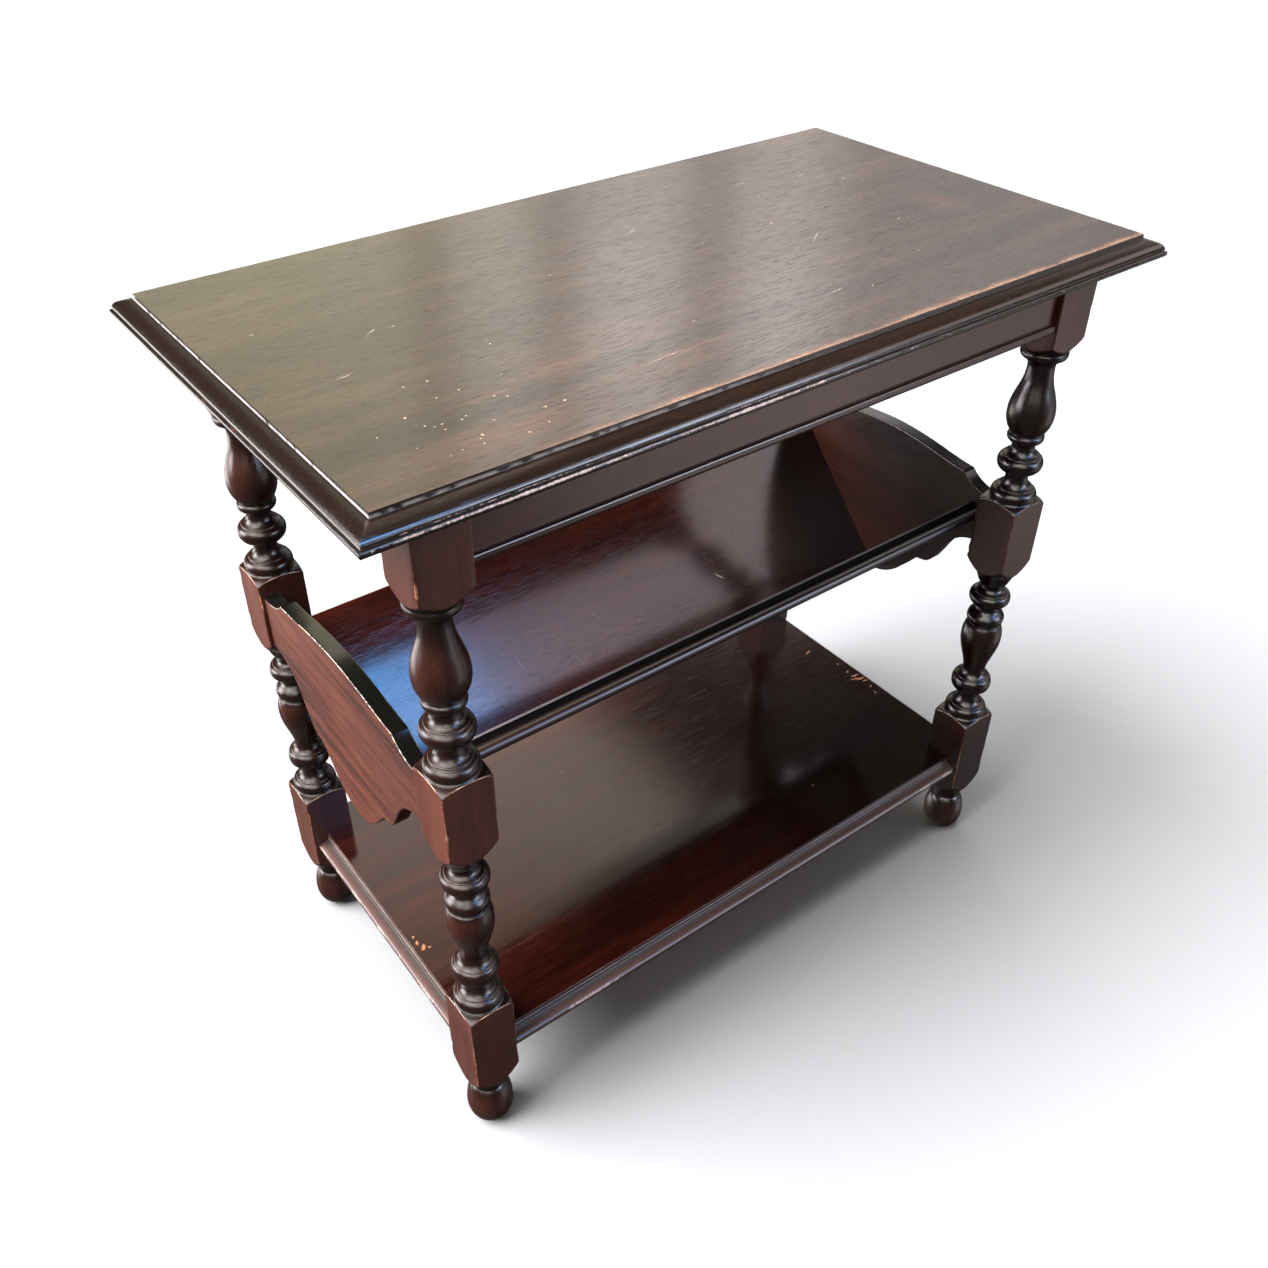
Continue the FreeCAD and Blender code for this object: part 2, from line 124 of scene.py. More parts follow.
END_BUMP = [(51.0, 276.0), (59.0, 277.6), (64.8, 280.4), (67.5, 284.0)]
END_COVE = [(67.5, 284.0), (72.5, 293.0), (77.5, 302.5), (83.0, 311.0), (90.0, 318.0),
            (97.0, 322.5), (104.0, 325.2), (IN_Y, 327.0)]


# ------------------------------------------------------------------ numbers
def smooth(a, b, x):
    t = np.clip((np.asarray(x, float) - a) / (b - a), 0, 1)
    return t * t * (3 - 2 * t)


_TABLE = np.random.default_rng(20).random(4096)


def vnoise(p, seed=0):
    """Smooth value noise, 0 to 1, of points with three coordinates, one cell per unit."""
    p = np.asarray(p, float)
    i = np.floor(p).astype(np.int64)
    f = p - i
    f = f * f * (3 - 2 * f)
    total = 0.0
    for dx in (0, 1):
        for dy in (0, 1):
            for dz in (0, 1):
                h = ((i[..., 0] + dx) * 73856093) ^ ((i[..., 1] + dy) * 19349663) ^ ((i[..., 2] + dz) * 83492791) ^ (seed * 2654435)
                w = (f[..., 0] if dx else 1 - f[..., 0]) * (f[..., 1] if dy else 1 - f[..., 1]) * (f[..., 2] if dz else 1 - f[..., 2])
                total = total + w * _TABLE[h & 4095]
    return total


def line_noise(s, seed=0):
    s = np.asarray(s, float)
    return vnoise(np.stack([s, np.full_like(s, 0.37), np.full_like(s, 0.71)], -1), seed)


def outline(steps, fine=0.8, coarse=6.0):
    """Points along ('L', p) and ('B', c1, c2, p) steps."""
    pts = [np.array(steps[0][1], float)]
    for s in steps[1:]:
        a, b = pts[-1], np.array(s[-1], float)
        if s[0] == "L":
            n = max(1, int(math.ceil(np.linalg.norm(b - a) / coarse)))
            pts += [a + (b - a) * k / n for k in range(1, n + 1)]
        else:
            c1, c2 = np.array(s[1], float), np.array(s[2], float)
            size = np.linalg.norm(c1 - a) + np.linalg.norm(c2 - c1) + np.linalg.norm(b - c2)
            n = max(3, int(math.ceil(size / fine)))
            for k in range(1, n + 1):
                t = k / n
                pts.append((1 - t) ** 3 * a + 3 * (1 - t) ** 2 * t * c1 + 3 * (1 - t) * t * t * c2 + t ** 3 * b)
    return np.array(pts)


def fillet(pts, r, limit=24.0, seg=4, closed=False):
    """Rounds the corners of a line of points that turn by more than limit degrees."""
    n = len(pts)
    done = []
    for i in range(n):
        if not closed and i in (0, n - 1):
            done.append(pts[i])
            continue
        p, a, b = pts[i], pts[i - 1], pts[(i + 1) % n]
        u, v = a - p, b - p
        lu, lv = np.linalg.norm(u), np.linalg.norm(v)
        if lu < 1e-9 or lv < 1e-9:
            continue
        turn = math.degrees(math.acos(np.clip(-(u @ v) / lu / lv, -1, 1)))
        if turn < limit:
            done.append(p)
            continue
        e = min(r, 0.45 * lu, 0.45 * lv)
        s, f = p + u / lu * e, p + v / lv * e
        for k in range(seg + 1):
            t = k / seg
            done.append((1 - t) ** 2 * s + 2 * (1 - t) * t * p + t * t * f)
    return np.array(done)


def braced(pts, d=1.0):
    """Adds a point close to both ends of the long straight runs of a closed line."""
    done = []
    for a, b in zip(pts, np.roll(pts, -1, 0)):
        done.append(a)
        size = np.linalg.norm((b - a)[:2])
        if size > 4 * d:
            done += [a + (b - a) * d / size, b + (a - b) * d / size]
    return np.array(done)


def curve_through(points, step=2.0):
    """Natural cubic line through points, sampled about every step."""
    p = np.array(points, float)
    d = np.linalg.norm(np.diff(p, axis=0), axis=1)
    t = np.concatenate([[0], np.cumsum(d)])
    n = len(p)
    a = np.zeros((n, n))
    rhs = np.zeros((n, 2))
    a[0, 0] = a[-1, -1] = 1
    for i in range(1, n - 1):
        a[i, i - 1], a[i, i], a[i, i + 1] = d[i - 1], 2 * (d[i - 1] + d[i]), d[i]
        rhs[i] = 6 * ((p[i + 1] - p[i]) / d[i] - (p[i] - p[i - 1]) / d[i - 1])
    m = np.linalg.solve(a, rhs)
    res = []
    for i in range(n - 1):
        k = max(2, int(math.ceil(d[i] / step)))
        for s in np.arange(k) / k:
            x, h = s * d[i], d[i]
            res.append(m[i] * (h - x) ** 3 / (6 * h) + m[i + 1] * x ** 3 / (6 * h)
                       + (p[i] / h - m[i] * h / 6) * (h - x) + (p[i + 1] / h - m[i + 1] * h / 6) * x)
    res.append(p[-1])
    return np.array(res)


# ------------------------------------------------------------------ meshes
class Shape:
    """Collects points in mm, faces and named point values, and makes one closed mesh of them."""

    def __init__(self):
        self.v, self.f, self.a, self.n = [], [], {}, 0

    def add(self, pts, **values):
        pts = np.asarray(pts, float).reshape(-1, 3)
        start = self.n
        self.v.append(pts)
        for key in set(self.a) | set(values):
            col = self.a.setdefault(key, [np.zeros(start)] if start else [])
            col.append(np.broadcast_to(np.asarray(values.get(key, 0.0), float).reshape(-1) if np.ndim(values.get(key, 0.0)) else values.get(key, 0.0), len(pts)).astype(float))
        self.n += len(pts)
        return np.arange(start, self.n)

    def grid(self, p, wrap=False, **values):
        rows, cols = p.shape[:2]
        ids = self.add(p, **{k: np.broadcast_to(v, (rows, cols)).reshape(-1) for k, v in values.items()}).reshape(rows, cols)
        nxt = np.roll(ids, -1, 1) if wrap else ids[:, 1:]
        cur = ids if wrap else ids[:, :-1]
        q = np.stack([cur[:-1], nxt[:-1], nxt[1:], cur[1:]], -1).reshape(-1, 4)
        self.f.extend(q.tolist())
        return ids

    def face(self, ids):
        self.f.append([int(i) for i in ids])

    def make(self, name, material, slot, *nodes, sharp=38.0):
        v = np.concatenate(self.v)
        _, first, back = np.unique(np.round(v * 1e4).astype(np.int64), axis=0, return_index=True, return_inverse=True)
        back = back.reshape(-1)
        faces = []
        for f in self.f:
            g = [int(back[i]) for i in f]
            g = [g[k] for k in range(len(g)) if g[k] != g[k - 1]]
            if len(set(g)) > 2:
                faces.append(g)
        mesh = bpy.data.meshes.new(name)
        mesh.from_pydata((v[first] * 0.001).tolist(), [], faces)
        bm = bmesh.new()
        bm.from_mesh(mesh)
        bmesh.ops.recalc_face_normals(bm, faces=bm.faces)
        cos = math.cos(math.radians(sharp))
        for e in bm.edges:
            e.smooth = len(e.link_faces) == 2 and e.link_faces[0].normal.dot(e.link_faces[1].normal) > cos
        for f in bm.faces:
            f.smooth = True
        bm.to_mesh(mesh)
        bm.free()
        mesh.update()
        for key, cols in self.a.items():
            put(mesh, key, np.concatenate(cols)[first])
        curvature(mesh)
        obj = bpy.data.objects.new(name, mesh)
        bpy.context.scene.collection.objects.link(obj)
        mesh.materials.append(material)
        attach(obj, "root")
        if nodes:
            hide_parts(*nodes)
        return obj


def put(mesh, key, values):
    at = mesh.attributes.new(key, "FLOAT", "POINT")
    at.data.foreach_set("value", np.asarray(values, np.float32))


def curvature(mesh):
    """Stores how sharply each point bends outwards and inwards, in 1/mm."""
    n = len(mesh.vertices)
    co = np.empty(n * 3, np.float32)
    mesh.vertices.foreach_get("co", co)
    co = co.reshape(-1, 3).astype(float) * 1000
    no = np.empty(n * 3, np.float32)
    mesh.vertex_normals.foreach_get("vector", no)
    no = no.reshape(-1, 3).astype(float)
    e = np.empty(len(mesh.edges) * 2, np.int32)
    mesh.edges.foreach_get("vertices", e)
    e = e.reshape(-1, 2)
    out, into = np.zeros(n), np.zeros(n)
    for a, b in ((e[:, 0], e[:, 1]), (e[:, 1], e[:, 0])):
        d = co[b] - co[a]
        k = 2 * (no[a] * d).sum(1) / np.maximum((d * d).sum(1), 1e-4)
        np.maximum.at(out, a, -k)
        np.maximum.at(into, a, k)
    put(mesh, "convex", np.minimum(out, 4.0))
    put(mesh, "concave", np.minimum(into, 4.0))


def bar(profile, make, along, **values):
    """A closed section swept along a line: make(s, points) gives the points at s."""
    shape = Shape()
    ring = np.stack([make(s, profile) for s in along])
    ids = shape.grid(ring, wrap=True, **values)
    shape.face(ids[0])
    shape.face(ids[-1][::-1])
    return shape


# ------------------------------------------------------------------ material kit
class Graph:
    def __init__(self, tree):
        self.t = tree

    def node(self, kind, **props):
        n = self.t.nodes.new(kind)
        for k, v in props.items():
            setattr(n, k, v)
        return n

    def put(self, socket, value):
        if isinstance(value, bpy.types.NodeSocket):
            self.t.links.new(value, socket)
        elif value is not None:
            if hasattr(socket.default_value, "__len__") and not hasattr(value, "__len__"):
                value = (value,) * len(socket.default_value)
            if hasattr(value, "__len__") and len(value) == 3 and len(socket.default_value) == 4:
                value = (*value, 1.0)
            socket.default_value = value

    def math(self, op, a, b=None, c=None, clamp=False):
        n = self.node("ShaderNodeMath", operation=op, use_clamp=clamp)
        for s, v in zip(n.inputs, (a, b, c)):
            self.put(s, v)
        return n.outputs[0]

    def vec(self, op, a, b=None):
        n = self.node("ShaderNodeVectorMath", operation=op)
        self.put(n.inputs[0], a)
        if b is not None:
            self.put(n.inputs[3] if op == "SCALE" else n.inputs[1], b)
        return n.outputs[1] if op in ("LENGTH", "DISTANCE", "DOT_PRODUCT") else n.outputs[0]

    def sep(self, v):
        n = self.node("ShaderNodeSeparateXYZ")
        self.put(n.inputs[0], v)
        return n.outputs

    def comb(self, x, y, z):
        n = self.node("ShaderNodeCombineXYZ")
        for s, v in zip(n.inputs, (x, y, z)):
            self.put(s, v)
        return n.outputs[0]

    def span(self, v, a, b, c=0.0, d=1.0, kind="SMOOTHSTEP"):
        n = self.node("ShaderNodeMapRange", interpolation_type=kind, clamp=True)
        for s, x in zip(n.inputs, (v, a, b, c, d)):
            self.put(s, x)
        return n.outputs[0]

    def mix(self, fac, a, b, mode="MIX"):
        n = self.node("ShaderNodeMix", data_type="RGBA", blend_type=mode)
        self.put(n.inputs[0], fac)
        self.put(n.inputs[6], a)
        self.put(n.inputs[7], b)
        return n.outputs[2]

    def noise(self, v, scale, detail=2.0, rough=0.5, bend=0.0):
        n = self.node("ShaderNodeTexNoise")
        if hasattr(scale, "__len__"):
            v, scale = self.vec("MULTIPLY", v, scale), 1.0
        self.put(n.inputs["Vector"], v)
        for k, x in (("Scale", scale), ("Detail", detail), ("Roughness", rough), ("Distortion", bend)):
            n.inputs[k].default_value = x
        return n.outputs[0]

    def cells(self, v, scale, feature="F1", chance=1.0):
        n = self.node("ShaderNodeTexVoronoi", feature=feature)
        if hasattr(scale, "__len__"):
            v, scale = self.vec("MULTIPLY", v, scale), 1.0
        self.put(n.inputs["Vector"], v)
        n.inputs["Scale"].default_value = scale
        n.inputs["Randomness"].default_value = chance
        return n.outputs["Distance"], (n.outputs["Color"] if "Color" in n.outputs else None)

    def ramp(self, v, stops):
        n = self.node("ShaderNodeValToRGB")
        el = n.color_ramp.elements
        while len(el) < len(stops):
            el.new(0.5)
        for e, (p, c) in zip(el, stops):
            e.position, e.color = p, (*c, 1.0)
        self.put(n.inputs[0], v)
        return n.outputs[0]

    def attr(self, name):
        return self.node("ShaderNodeAttribute", attribute_name=name).outputs["Fac"]


def lin(r, g, b):
    """Linear colour of an 8-bit screen colour."""
    return tuple(((c / 255 + 0.055) / 1.055) ** 2.4 if c > 10 else c / 255 / 12.92 for c in (r, g, b))


def wood(name, grain, dark, mid, light, rough=0.34, coat=0.3, coat_rough=0.16, edge=(0.5, 1.4),
         edge_amount=0.9, worn=lin(150, 92, 58), bare=lin(205, 165, 128), figure=1.0, seed=0.0, more=None, bump=1.0,
         grain_bump=0.09, wave=0.4, chips=(lin(150, 100, 82), lin(224, 186, 164)), mould=(lin(20, 12, 8), 0.16, 0.08), turned=(0.30, 0.11, 0.27), dull=False):
    """Stained and varnished wood with grain along one axis, wear on arrises, painted shade in concave corners and
    soiling with painted shade in the grooves.

    The points' "mould" value brings in the darker, smoother finish of mouldings, "turned" that of turnings,
    "shade" painted shade where less light falls, "pale" a worn line with a painted highlight, "dirt" soiling with
    painted shade in the grooves, and "chip" the places where the finish is knocked off."""
    m = bpy.data.materials.new(name)
    m.use_nodes = True
    t = m.node_tree
    t.nodes.clear()
    g = Graph(t)
    co = g.node("ShaderNodeTexCoord").outputs["Object"]
    x, y, z = g.sep(co)
    u, v, w = {"X": (x, y, z), "Y": (y, x, z), "Z": (z, x, y)}[grain]
    gv = g.vec("ADD", g.comb(u, v, w), (seed * 1.37, seed * 0.73, seed * 0.51))
    broad = g.noise(gv, (2.4, 17.0, 17.0), 4.0, 0.55, 0.7)
    bands = g.noise(gv, (5.0, 95.0, 95.0), 3.0, 0.6, 0.35)
    fine = g.noise(gv, (38.0, 720.0, 720.0), 3.0, 0.65)
    pores = g.noise(gv, (70.0, 1500.0, 1500.0), 1.0, 0.5)
    patch = g.noise(g.vec("ADD", co, (seed, seed * 0.3, 0.0)), 7.0, 4.0, 0.6)
    fig = g.math("ADD", g.math("MULTIPLY", broad, 0.38), g.math("ADD", g.math("MULTIPLY", bands, 0.30), g.math("MULTIPLY", fine, 0.32)))
    spread = 0.13 / max(figure, 0.05)
    col = g.ramp(fig, [(max(0.0, 0.5 - spread), dark), (0.5, mid), (min(1.0, 0.5 + spread), light)])
    col = g.mix(g.span(pores, 0.60, 0.74, 0.0, 0.28), col, g.mix(1.0, col, (0.35, 0.30, 0.30), "MULTIPLY"))
    col = g.mix(g.span(patch, 0.35, 0.7, 0.0, 0.35), col, dark)
    # darker finish on mouldings and turnings
    dark_part = g.attr("mould")
    col = g.mix(dark_part, col, g.mix(mould[2], mould[0], col))
    # painted shade: the points' "shade" value darkens the colour where less light falls
    col = g.mix(g.attr("shade"), col, g.mix(1.0, col, (0.10, 0.07, 0.07), "MULTIPLY"))
    round_part = g.attr("turned")
    tight = g.span(g.attr("ring"), 0.0, 1.0, turned[0], turned[1])
    col = g.mix(round_part, col, g.mix(1.0, col, g.comb(tight, g.math("MULTIPLY", tight, 0.92), g.math("MULTIPLY", tight, 0.88)), "MULTIPLY"))
    # painted shade in concave corners, old varnish and soiling with painted shade in the grooves, wear on arrises
    soil_and_shade = g.attr("dirt")
    # painted shade: concave corners darkened by how sharply they bend inwards
    cave = g.span(g.attr("concave"), 0.05, 0.9)
    col = g.mix(g.math("MAXIMUM", g.math("MULTIPLY", cave, 0.7), g.math("MULTIPLY", soil_and_shade, 0.92)), col, (0.005, 0.004, 0.003))
    breakup = g.noise(co, 420.0, 4.0, 0.65)
    rubs = g.noise(co, 38.0, 3.0, 0.6)
    wear = g.math("ADD", g.attr("convex"), g.math("ADD", g.math("MULTIPLY", g.math("SUBTRACT", breakup, 0.5), 1.6), g.math("MULTIPLY", g.math("SUBTRACT", rubs, 0.5), 2.4)))
    keep = g.math("SUBTRACT", 1.0, g.math("MAXIMUM", g.math("MULTIPLY", round_part, 0.9), soil_and_shade))
    keep = g.math("MULTIPLY", keep, g.span(g.attr("convex"), 0.12, 0.45))
    edge_amount = g.math("MULTIPLY", keep, edge_amount)
    soft = g.math("MULTIPLY", g.span(wear, edge[0], edge[0] + 0.8), edge_amount)
    hard = g.math("MULTIPLY", g.span(wear, edge[1], edge[1] + 0.5), edge_amount)
    col = g.mix(soft, col, worn)
    col = g.mix(hard, col, bare)
    chip = g.math("MULTIPLY", g.span(g.math("ADD", g.attr("chip"), g.math("MULTIPLY", g.math("SUBTRACT", breakup, 0.5), 0.9)), 0.45, 0.6), 0.95)
    col = g.mix(chip, col, g.mix(breakup, chips[0], chips[1]))
    # a near-white line from the points' "pale" value: partly a worn line, partly a painted highlight
    col = g.mix(g.math("MULTIPLY", g.attr("pale"), g.span(breakup, 0.3, 0.5, 0.6, 0.95)), col, lin(226, 220, 222))
    base = g.math("ADD", rough, g.math("MULTIPLY", dark_part, mould[1] - rough))
    base = g.math("ADD", base, g.math("MULTIPLY", round_part, turned[2] - rough))
    base = g.math("ADD", base, g.math("MULTIPLY", soil_and_shade, 0.4))
    vary = g.math("ADD", 1.0, g.math("ADD", g.math("MULTIPLY", g.math("SUBTRACT", patch, 0.5), 0.6), g.math("MULTIPLY", g.math("SUBTRACT", fine, 0.5), 0.3)))
    rg = g.math("ADD", g.math("MULTIPLY", base, vary), g.math("MULTIPLY", g.math("ADD", soft, chip), 0.2))
    wavy = g.noise(co, (9.0, 22.0, 22.0), 2.0, 0.5)
    h = g.math("ADD", g.math("MULTIPLY", fine, grain_bump), g.math("MULTIPLY", g.span(pores, 0.58, 0.75), -1.4 * grain_bump))
    h = g.math("ADD", h, g.math("SUBTRACT", g.math("MULTIPLY", wavy, wave), g.math("MULTIPLY", chip, 0.5)))
    h = g.math("ADD", h, g.math("MULTIPLY", bands, 0.05))
    parts = dict(g=g, co=co, x=x, y=y, z=z, col=col, rough=rg, height=h, gv=gv, fine=fine, patch=patch, breakup=breakup, rubs=rubs)
    if more:
        parts.update(more(**parts))
    b = g.node("ShaderNodeBump")
    b.inputs["Strength"].default_value = 0.35 * bump
    b.inputs["Distance"].default_value = 0.0006
    g.put(b.inputs["Height"], parts["height"])
    s = g.node("ShaderNodeBsdfPrincipled")
    g.put(s.inputs["Base Color"], parts["col"])
    g.put(s.inputs["Roughness"], g.math("MINIMUM", g.math("MAXIMUM", parts["rough"], 0.08), 0.9))
    s.inputs["Specular IOR Level"].default_value = 0.5
    s.inputs["IOR"].default_value = 1.5
    s.inputs["Coat Weight"].default_value = coat
    s.inputs["Coat Roughness"].default_value = coat_rough
    g.put(s.inputs["Normal"], b.outputs[0])
    last = s
    if dull:
        # painted shade: deep in the groove the finish gives way to a flat near-black, for soiling and shade
        d = g.node("ShaderNodeBsdfDiffuse")
        d.inputs["Color"].default_value = (0.004, 0.0035, 0.003, 1)
        last = g.node("ShaderNodeMixShader")
        g.put(last.inputs[0], g.span(soil_and_shade, 0.75, 1.0, 0.0, 0.92))
        t.links.new(s.outputs[0], last.inputs[1])
        t.links.new(d.outputs[0], last.inputs[2])
    o = g.node("ShaderNodeOutputMaterial")
    t.links.new(last.outputs[0], o.inputs[0])
    return m


# ------------------------------------------------------------------ materials
DARK, MID, LIGHT = lin(52, 22, 16), lin(84, 40, 30), lin(114, 60, 45)


# marks on the top: x, y, half length, half width in mm, turn in degrees
NICKS = [
    (-198, 18, 1.0, 0.6, 20), (-275, 59, 2.5, 0.6, 12), (-234, -61, 0.8, 0.6, 0), (-219, -62, 0.8, 0.6, 40), (-225, -84, 1.0, 0.7, 10),
    (-210, -83, 0.9, 0.7, 70), (-251, -94, 1.2, 0.8, 25), (-247, -109, 0.8, 0.6, 0), (-243, -113, 0.9, 0.6, 50), (-238, -113, 1.1, 0.7, 5),
    (-240, -119, 0.9, 0.6, 0), (-227, -115, 1.2, 0.8, 30), (-223, -112, 1.4, 0.7, 60), (-274, -105, 0.8, 0.6, 0), (-252, -146, 0.8, 0.6, 20),
    (-244, -144, 0.8, 0.6, 0), (115, 11, 1.7, 0.7, 15), (48, 10, 1.3, 0.6, 35), (41, 143, 1.5, 0.7, 0), (-73, 27, 0.8, 0.6, 0),
    (-43, -90, 0.8, 0.6, 20), (-163, -41, 1.0, 0.6, 60), (-163, -37, 0.8, 0.6, 0), (-180, -80, 1.0, 0.6, 10), (-198, -101, 1.1, 0.7, 0),
    (-192, -106, 0.8, 0.6, 45), (-182, -130, 1.4, 0.7, 10), (-169, -130, 1.3, 0.7, 25), (-227, -136, 1.3, 0.7, 80), (-231, -145, 1.2, 0.7, 70),
    (-230, -139, 0.8, 0.6, 0), (-205, -149, 1.0, 0.6, 15), (-262, -128, 0.8, 0.6, 0), (-213, -126, 0.8, 0.5, 30), (-190, -146, 0.9, 0.6, 0),
    (146, 60, 0.8, 0.5, 0), (196, -40, 0.8, 0.6, 10), (160, -92, 0.8, 0.5, 30), (230, 52, 1.2, 0.6, 80), (88, -118, 0.8, 0.6, 0),
]
DENTS = [
    (-160, 145, 2.4, 1.5, 10), (66, -47, 2.6, 1.8, 30), (51, -78, 2.0, 1.4, 0), (34, -84, 2.2, 1.2, 60), (-32, -134, 2.0, 1.4, 20),
    (-78, 135, 2.0, 1.3, 0), (-158, -137, 2.0, 1.3, 15), (-93, -90, 1.5, 1.1, 0), (-324, 13, 1.4, 1.0, 0), (-128, 125, 4.5, 1.0, 70),
    (-300, 71, 4.5, 0.9, 14), (70, -57, 5.5, 0.9, -37), (20, -99, 4.5, 0.9, -14), (-109, -136, 4.5, 1.0, -60), (81, 6, 13.0, 0.6, 53),
    (93, 16, 4.5, 0.6, -20), (-191, -53, 20.0, 0.5, 57), (172, 12, 3.2, 2.2, 20), (214, -28, 5.5, 1.2, 30), (221, -35, 4.0, 0.9, 70),
    (205, -46, 6.0, 0.8, 10), (150, -58, 13.0, 1.2, 22), (140, -76, 9.0, 0.9, 48), (106, 128, 1.8, 1.2, 0), (238, -52, 3.4, 0.8, 0),
]
SCRATCHES = [
    (155, 93, 7.0, 0.8, -4), (-255, -28, 7.5, 0.6, 8), (-213, 19, 7.0, 0.7, 33), (20, 60, 11.0, 0.4, 24), (120, -30, 14.0, 0.4, 38),
    (210, 80, 10.0, 0.4, 30), (60, -110, 14.0, 0.4, 9), (-90, -120, 16.0, 0.4, 6),
]
RUBS = [(-200, -99, 44.0, 7.0, 2), (-150, -94, 34.0, 20.0, 8), (-96, -130, 90.0, 22.0, 4), (-206, -140, 70.0, 20.0, 3), (250, -30, 26.0, 40.0, 20)]


def marks(g, co, rows, inner, after, size=1.0):
    """1 inside small ovals, falling to 0 at their rims."""
    got = g.math("MULTIPLY", after, 1e-9)
    for x, y, length, width, turn in rows:
        m = g.node("ShaderNodeMapping", vector_type="TEXTURE")
        # each oval waits for the one before it, so that only a few values are held at a time
        step = g.node("ShaderNodeVectorMath", operation="MULTIPLY_ADD")
        g.put(step.inputs[0], got)
        g.put(step.inputs[1], 1e-9)
        g.put(step.inputs[2], co)
        g.put(m.inputs["Vector"], step.outputs[0])
        m.inputs["Location"].default_value = (x * 0.001, y * 0.001, HEIGHT * 0.001)
        m.inputs["Rotation"].default_value = (0.0, 0.0, math.radians(turn))
        m.inputs["Scale"].default_value = (length * size * 0.001, width * size * 0.001, 1.0)
        got = g.math("MAXIMUM", got, g.span(g.vec("LENGTH", m.outputs[0]), inner, 1.0, 1.0, 0.0))
    return got


def top_more(g, co, x, y, z, col, rough, height, gv, fine, patch, breakup, rubs):
    """Thin finish along the front, pale nicks, dents and scratches on the field."""
    flat = g.span(z, HEIGHT * 0.001 - 0.00035, HEIGHT * 0.001 - 0.00005)
    ragged = g.noise(g.vec("ADD", co, (0.2, 0.1, 0.0)), 900.0, 3.0, 0.7)
    near = g.vec("ADD", co, g.vec("SCALE", g.comb(g.math("SUBTRACT", ragged, 0.5), g.math("SUBTRACT", breakup, 0.5), 0.0), 0.0042))
    # finish rubbed thin along the front edge and in soft patches
    close = g.span(g.math("ADD", y, g.math("MULTIPLY", g.math("SUBTRACT", rubs, 0.5), 0.010)), -0.1696, -0.1632, 1.0, 0.0)
    line = g.math("MULTIPLY", close, g.math("MULTIPLY", g.span(x, -0.26, -0.10, 0.12, 0.8), g.span(breakup, 0.3, 0.6, 0.5, 1.0)))
    streak = g.noise(g.vec("MULTIPLY", co, (20.0, 260.0, 1.0)), 1.0, 4.0, 0.7)
    soft = g.math("MULTIPLY", marks(g, co, RUBS, 0.0, streak), g.span(streak, 0.34, 0.66, 0.2, 1.0))
    thin = g.math("MULTIPLY", g.math("MAXIMUM", g.math("MULTIPLY", line, 0.6), g.math("MULTIPLY", soft, 0.17)), flat)
    col = g.mix(thin, col, g.mix(line, lin(122, 78, 50), lin(172, 134, 108)))
    nick = g.math("MULTIPLY", marks(g, near, NICKS, 0.4, thin, 0.84), flat)
    col = g.mix(g.math("MULTIPLY", nick, 0.85), col, g.mix(ragged, lin(190, 140, 88), lin(236, 214, 176)))
    dent = g.math("MULTIPLY", marks(g, near, DENTS, 0.3, nick), flat)
    col = g.mix(g.math("MULTIPLY", dent, 0.75), col, (0.006, 0.004, 0.003))
    cut = g.math("MULTIPLY", marks(g, near, SCRATCHES, 0.2, dent), g.math("MULTIPLY", flat, g.span(breakup, 0.35, 0.55, 0.2, 1.0)))
    col = g.mix(g.math("MULTIPLY", cut, 0.4), col, lin(206, 190, 172))
    rough = g.math("ADD", rough, g.math("MULTIPLY", g.math("ADD", g.math("ADD", thin, nick), dent), 0.2))
    rough = g.math("ADD", rough, g.math("MULTIPLY", g.span(fine, 0.52, 0.72, 0.0, 0.16), flat))
    return dict(col=col, rough=rough)


TROUGH_CUTS = [(103.4, 33.6, 6.0, 0.8, -34), (-112, 34.7, 9.0, 0.35, -70), (-147, 27.5, 8.0, 0.35, -62), (-155, 34, 9.0, 0.3, -80),
               (-90, 37, 6.0, 0.3, 20), (-70, 38, 7.0, 0.3, -50), (-121, 43, 8.0, 0.3, -30), (39.7, 16, 1.0, 0.7, 0), (-60, 22, 9.0, 0.3, -65),
               (-30, 44, 12.0, 0.3, -40), (10, 30, 9.0, 0.3, 30), (60, 48, 10.0, 0.3, -75), (130, 52, 12.0, 0.3, 60), (-180, 42, 8.0, 0.3, -20)]
SHELF_CHIPS = [(-268, -27, 2.0, 1.0, 70), (-268, -34, 3.2, 1.4, 80), (-266, -41, 3.6, 2.0, 60), (-262, -44, 1.6, 1.0, 0), (254, 52, 5.0, 0.9, 12),
               (264, 4, 2.4, 1.3, 20), (266, -5, 6.0, 1.1, 170), (263, -9, 7.0, 1.2, 165), (267, -12, 6.5, 1.2, 172), (269, -17, 4.0, 1.0, 168),
               (267, -27, 2.0, 1.2, 30), (264, -36, 3.0, 1.0, 100), (265, 19, 2.0, 1.0, 40), (120, -96, 1.4, 0.8, 10), (-60, 60, 1.0, 0.7, 0)]


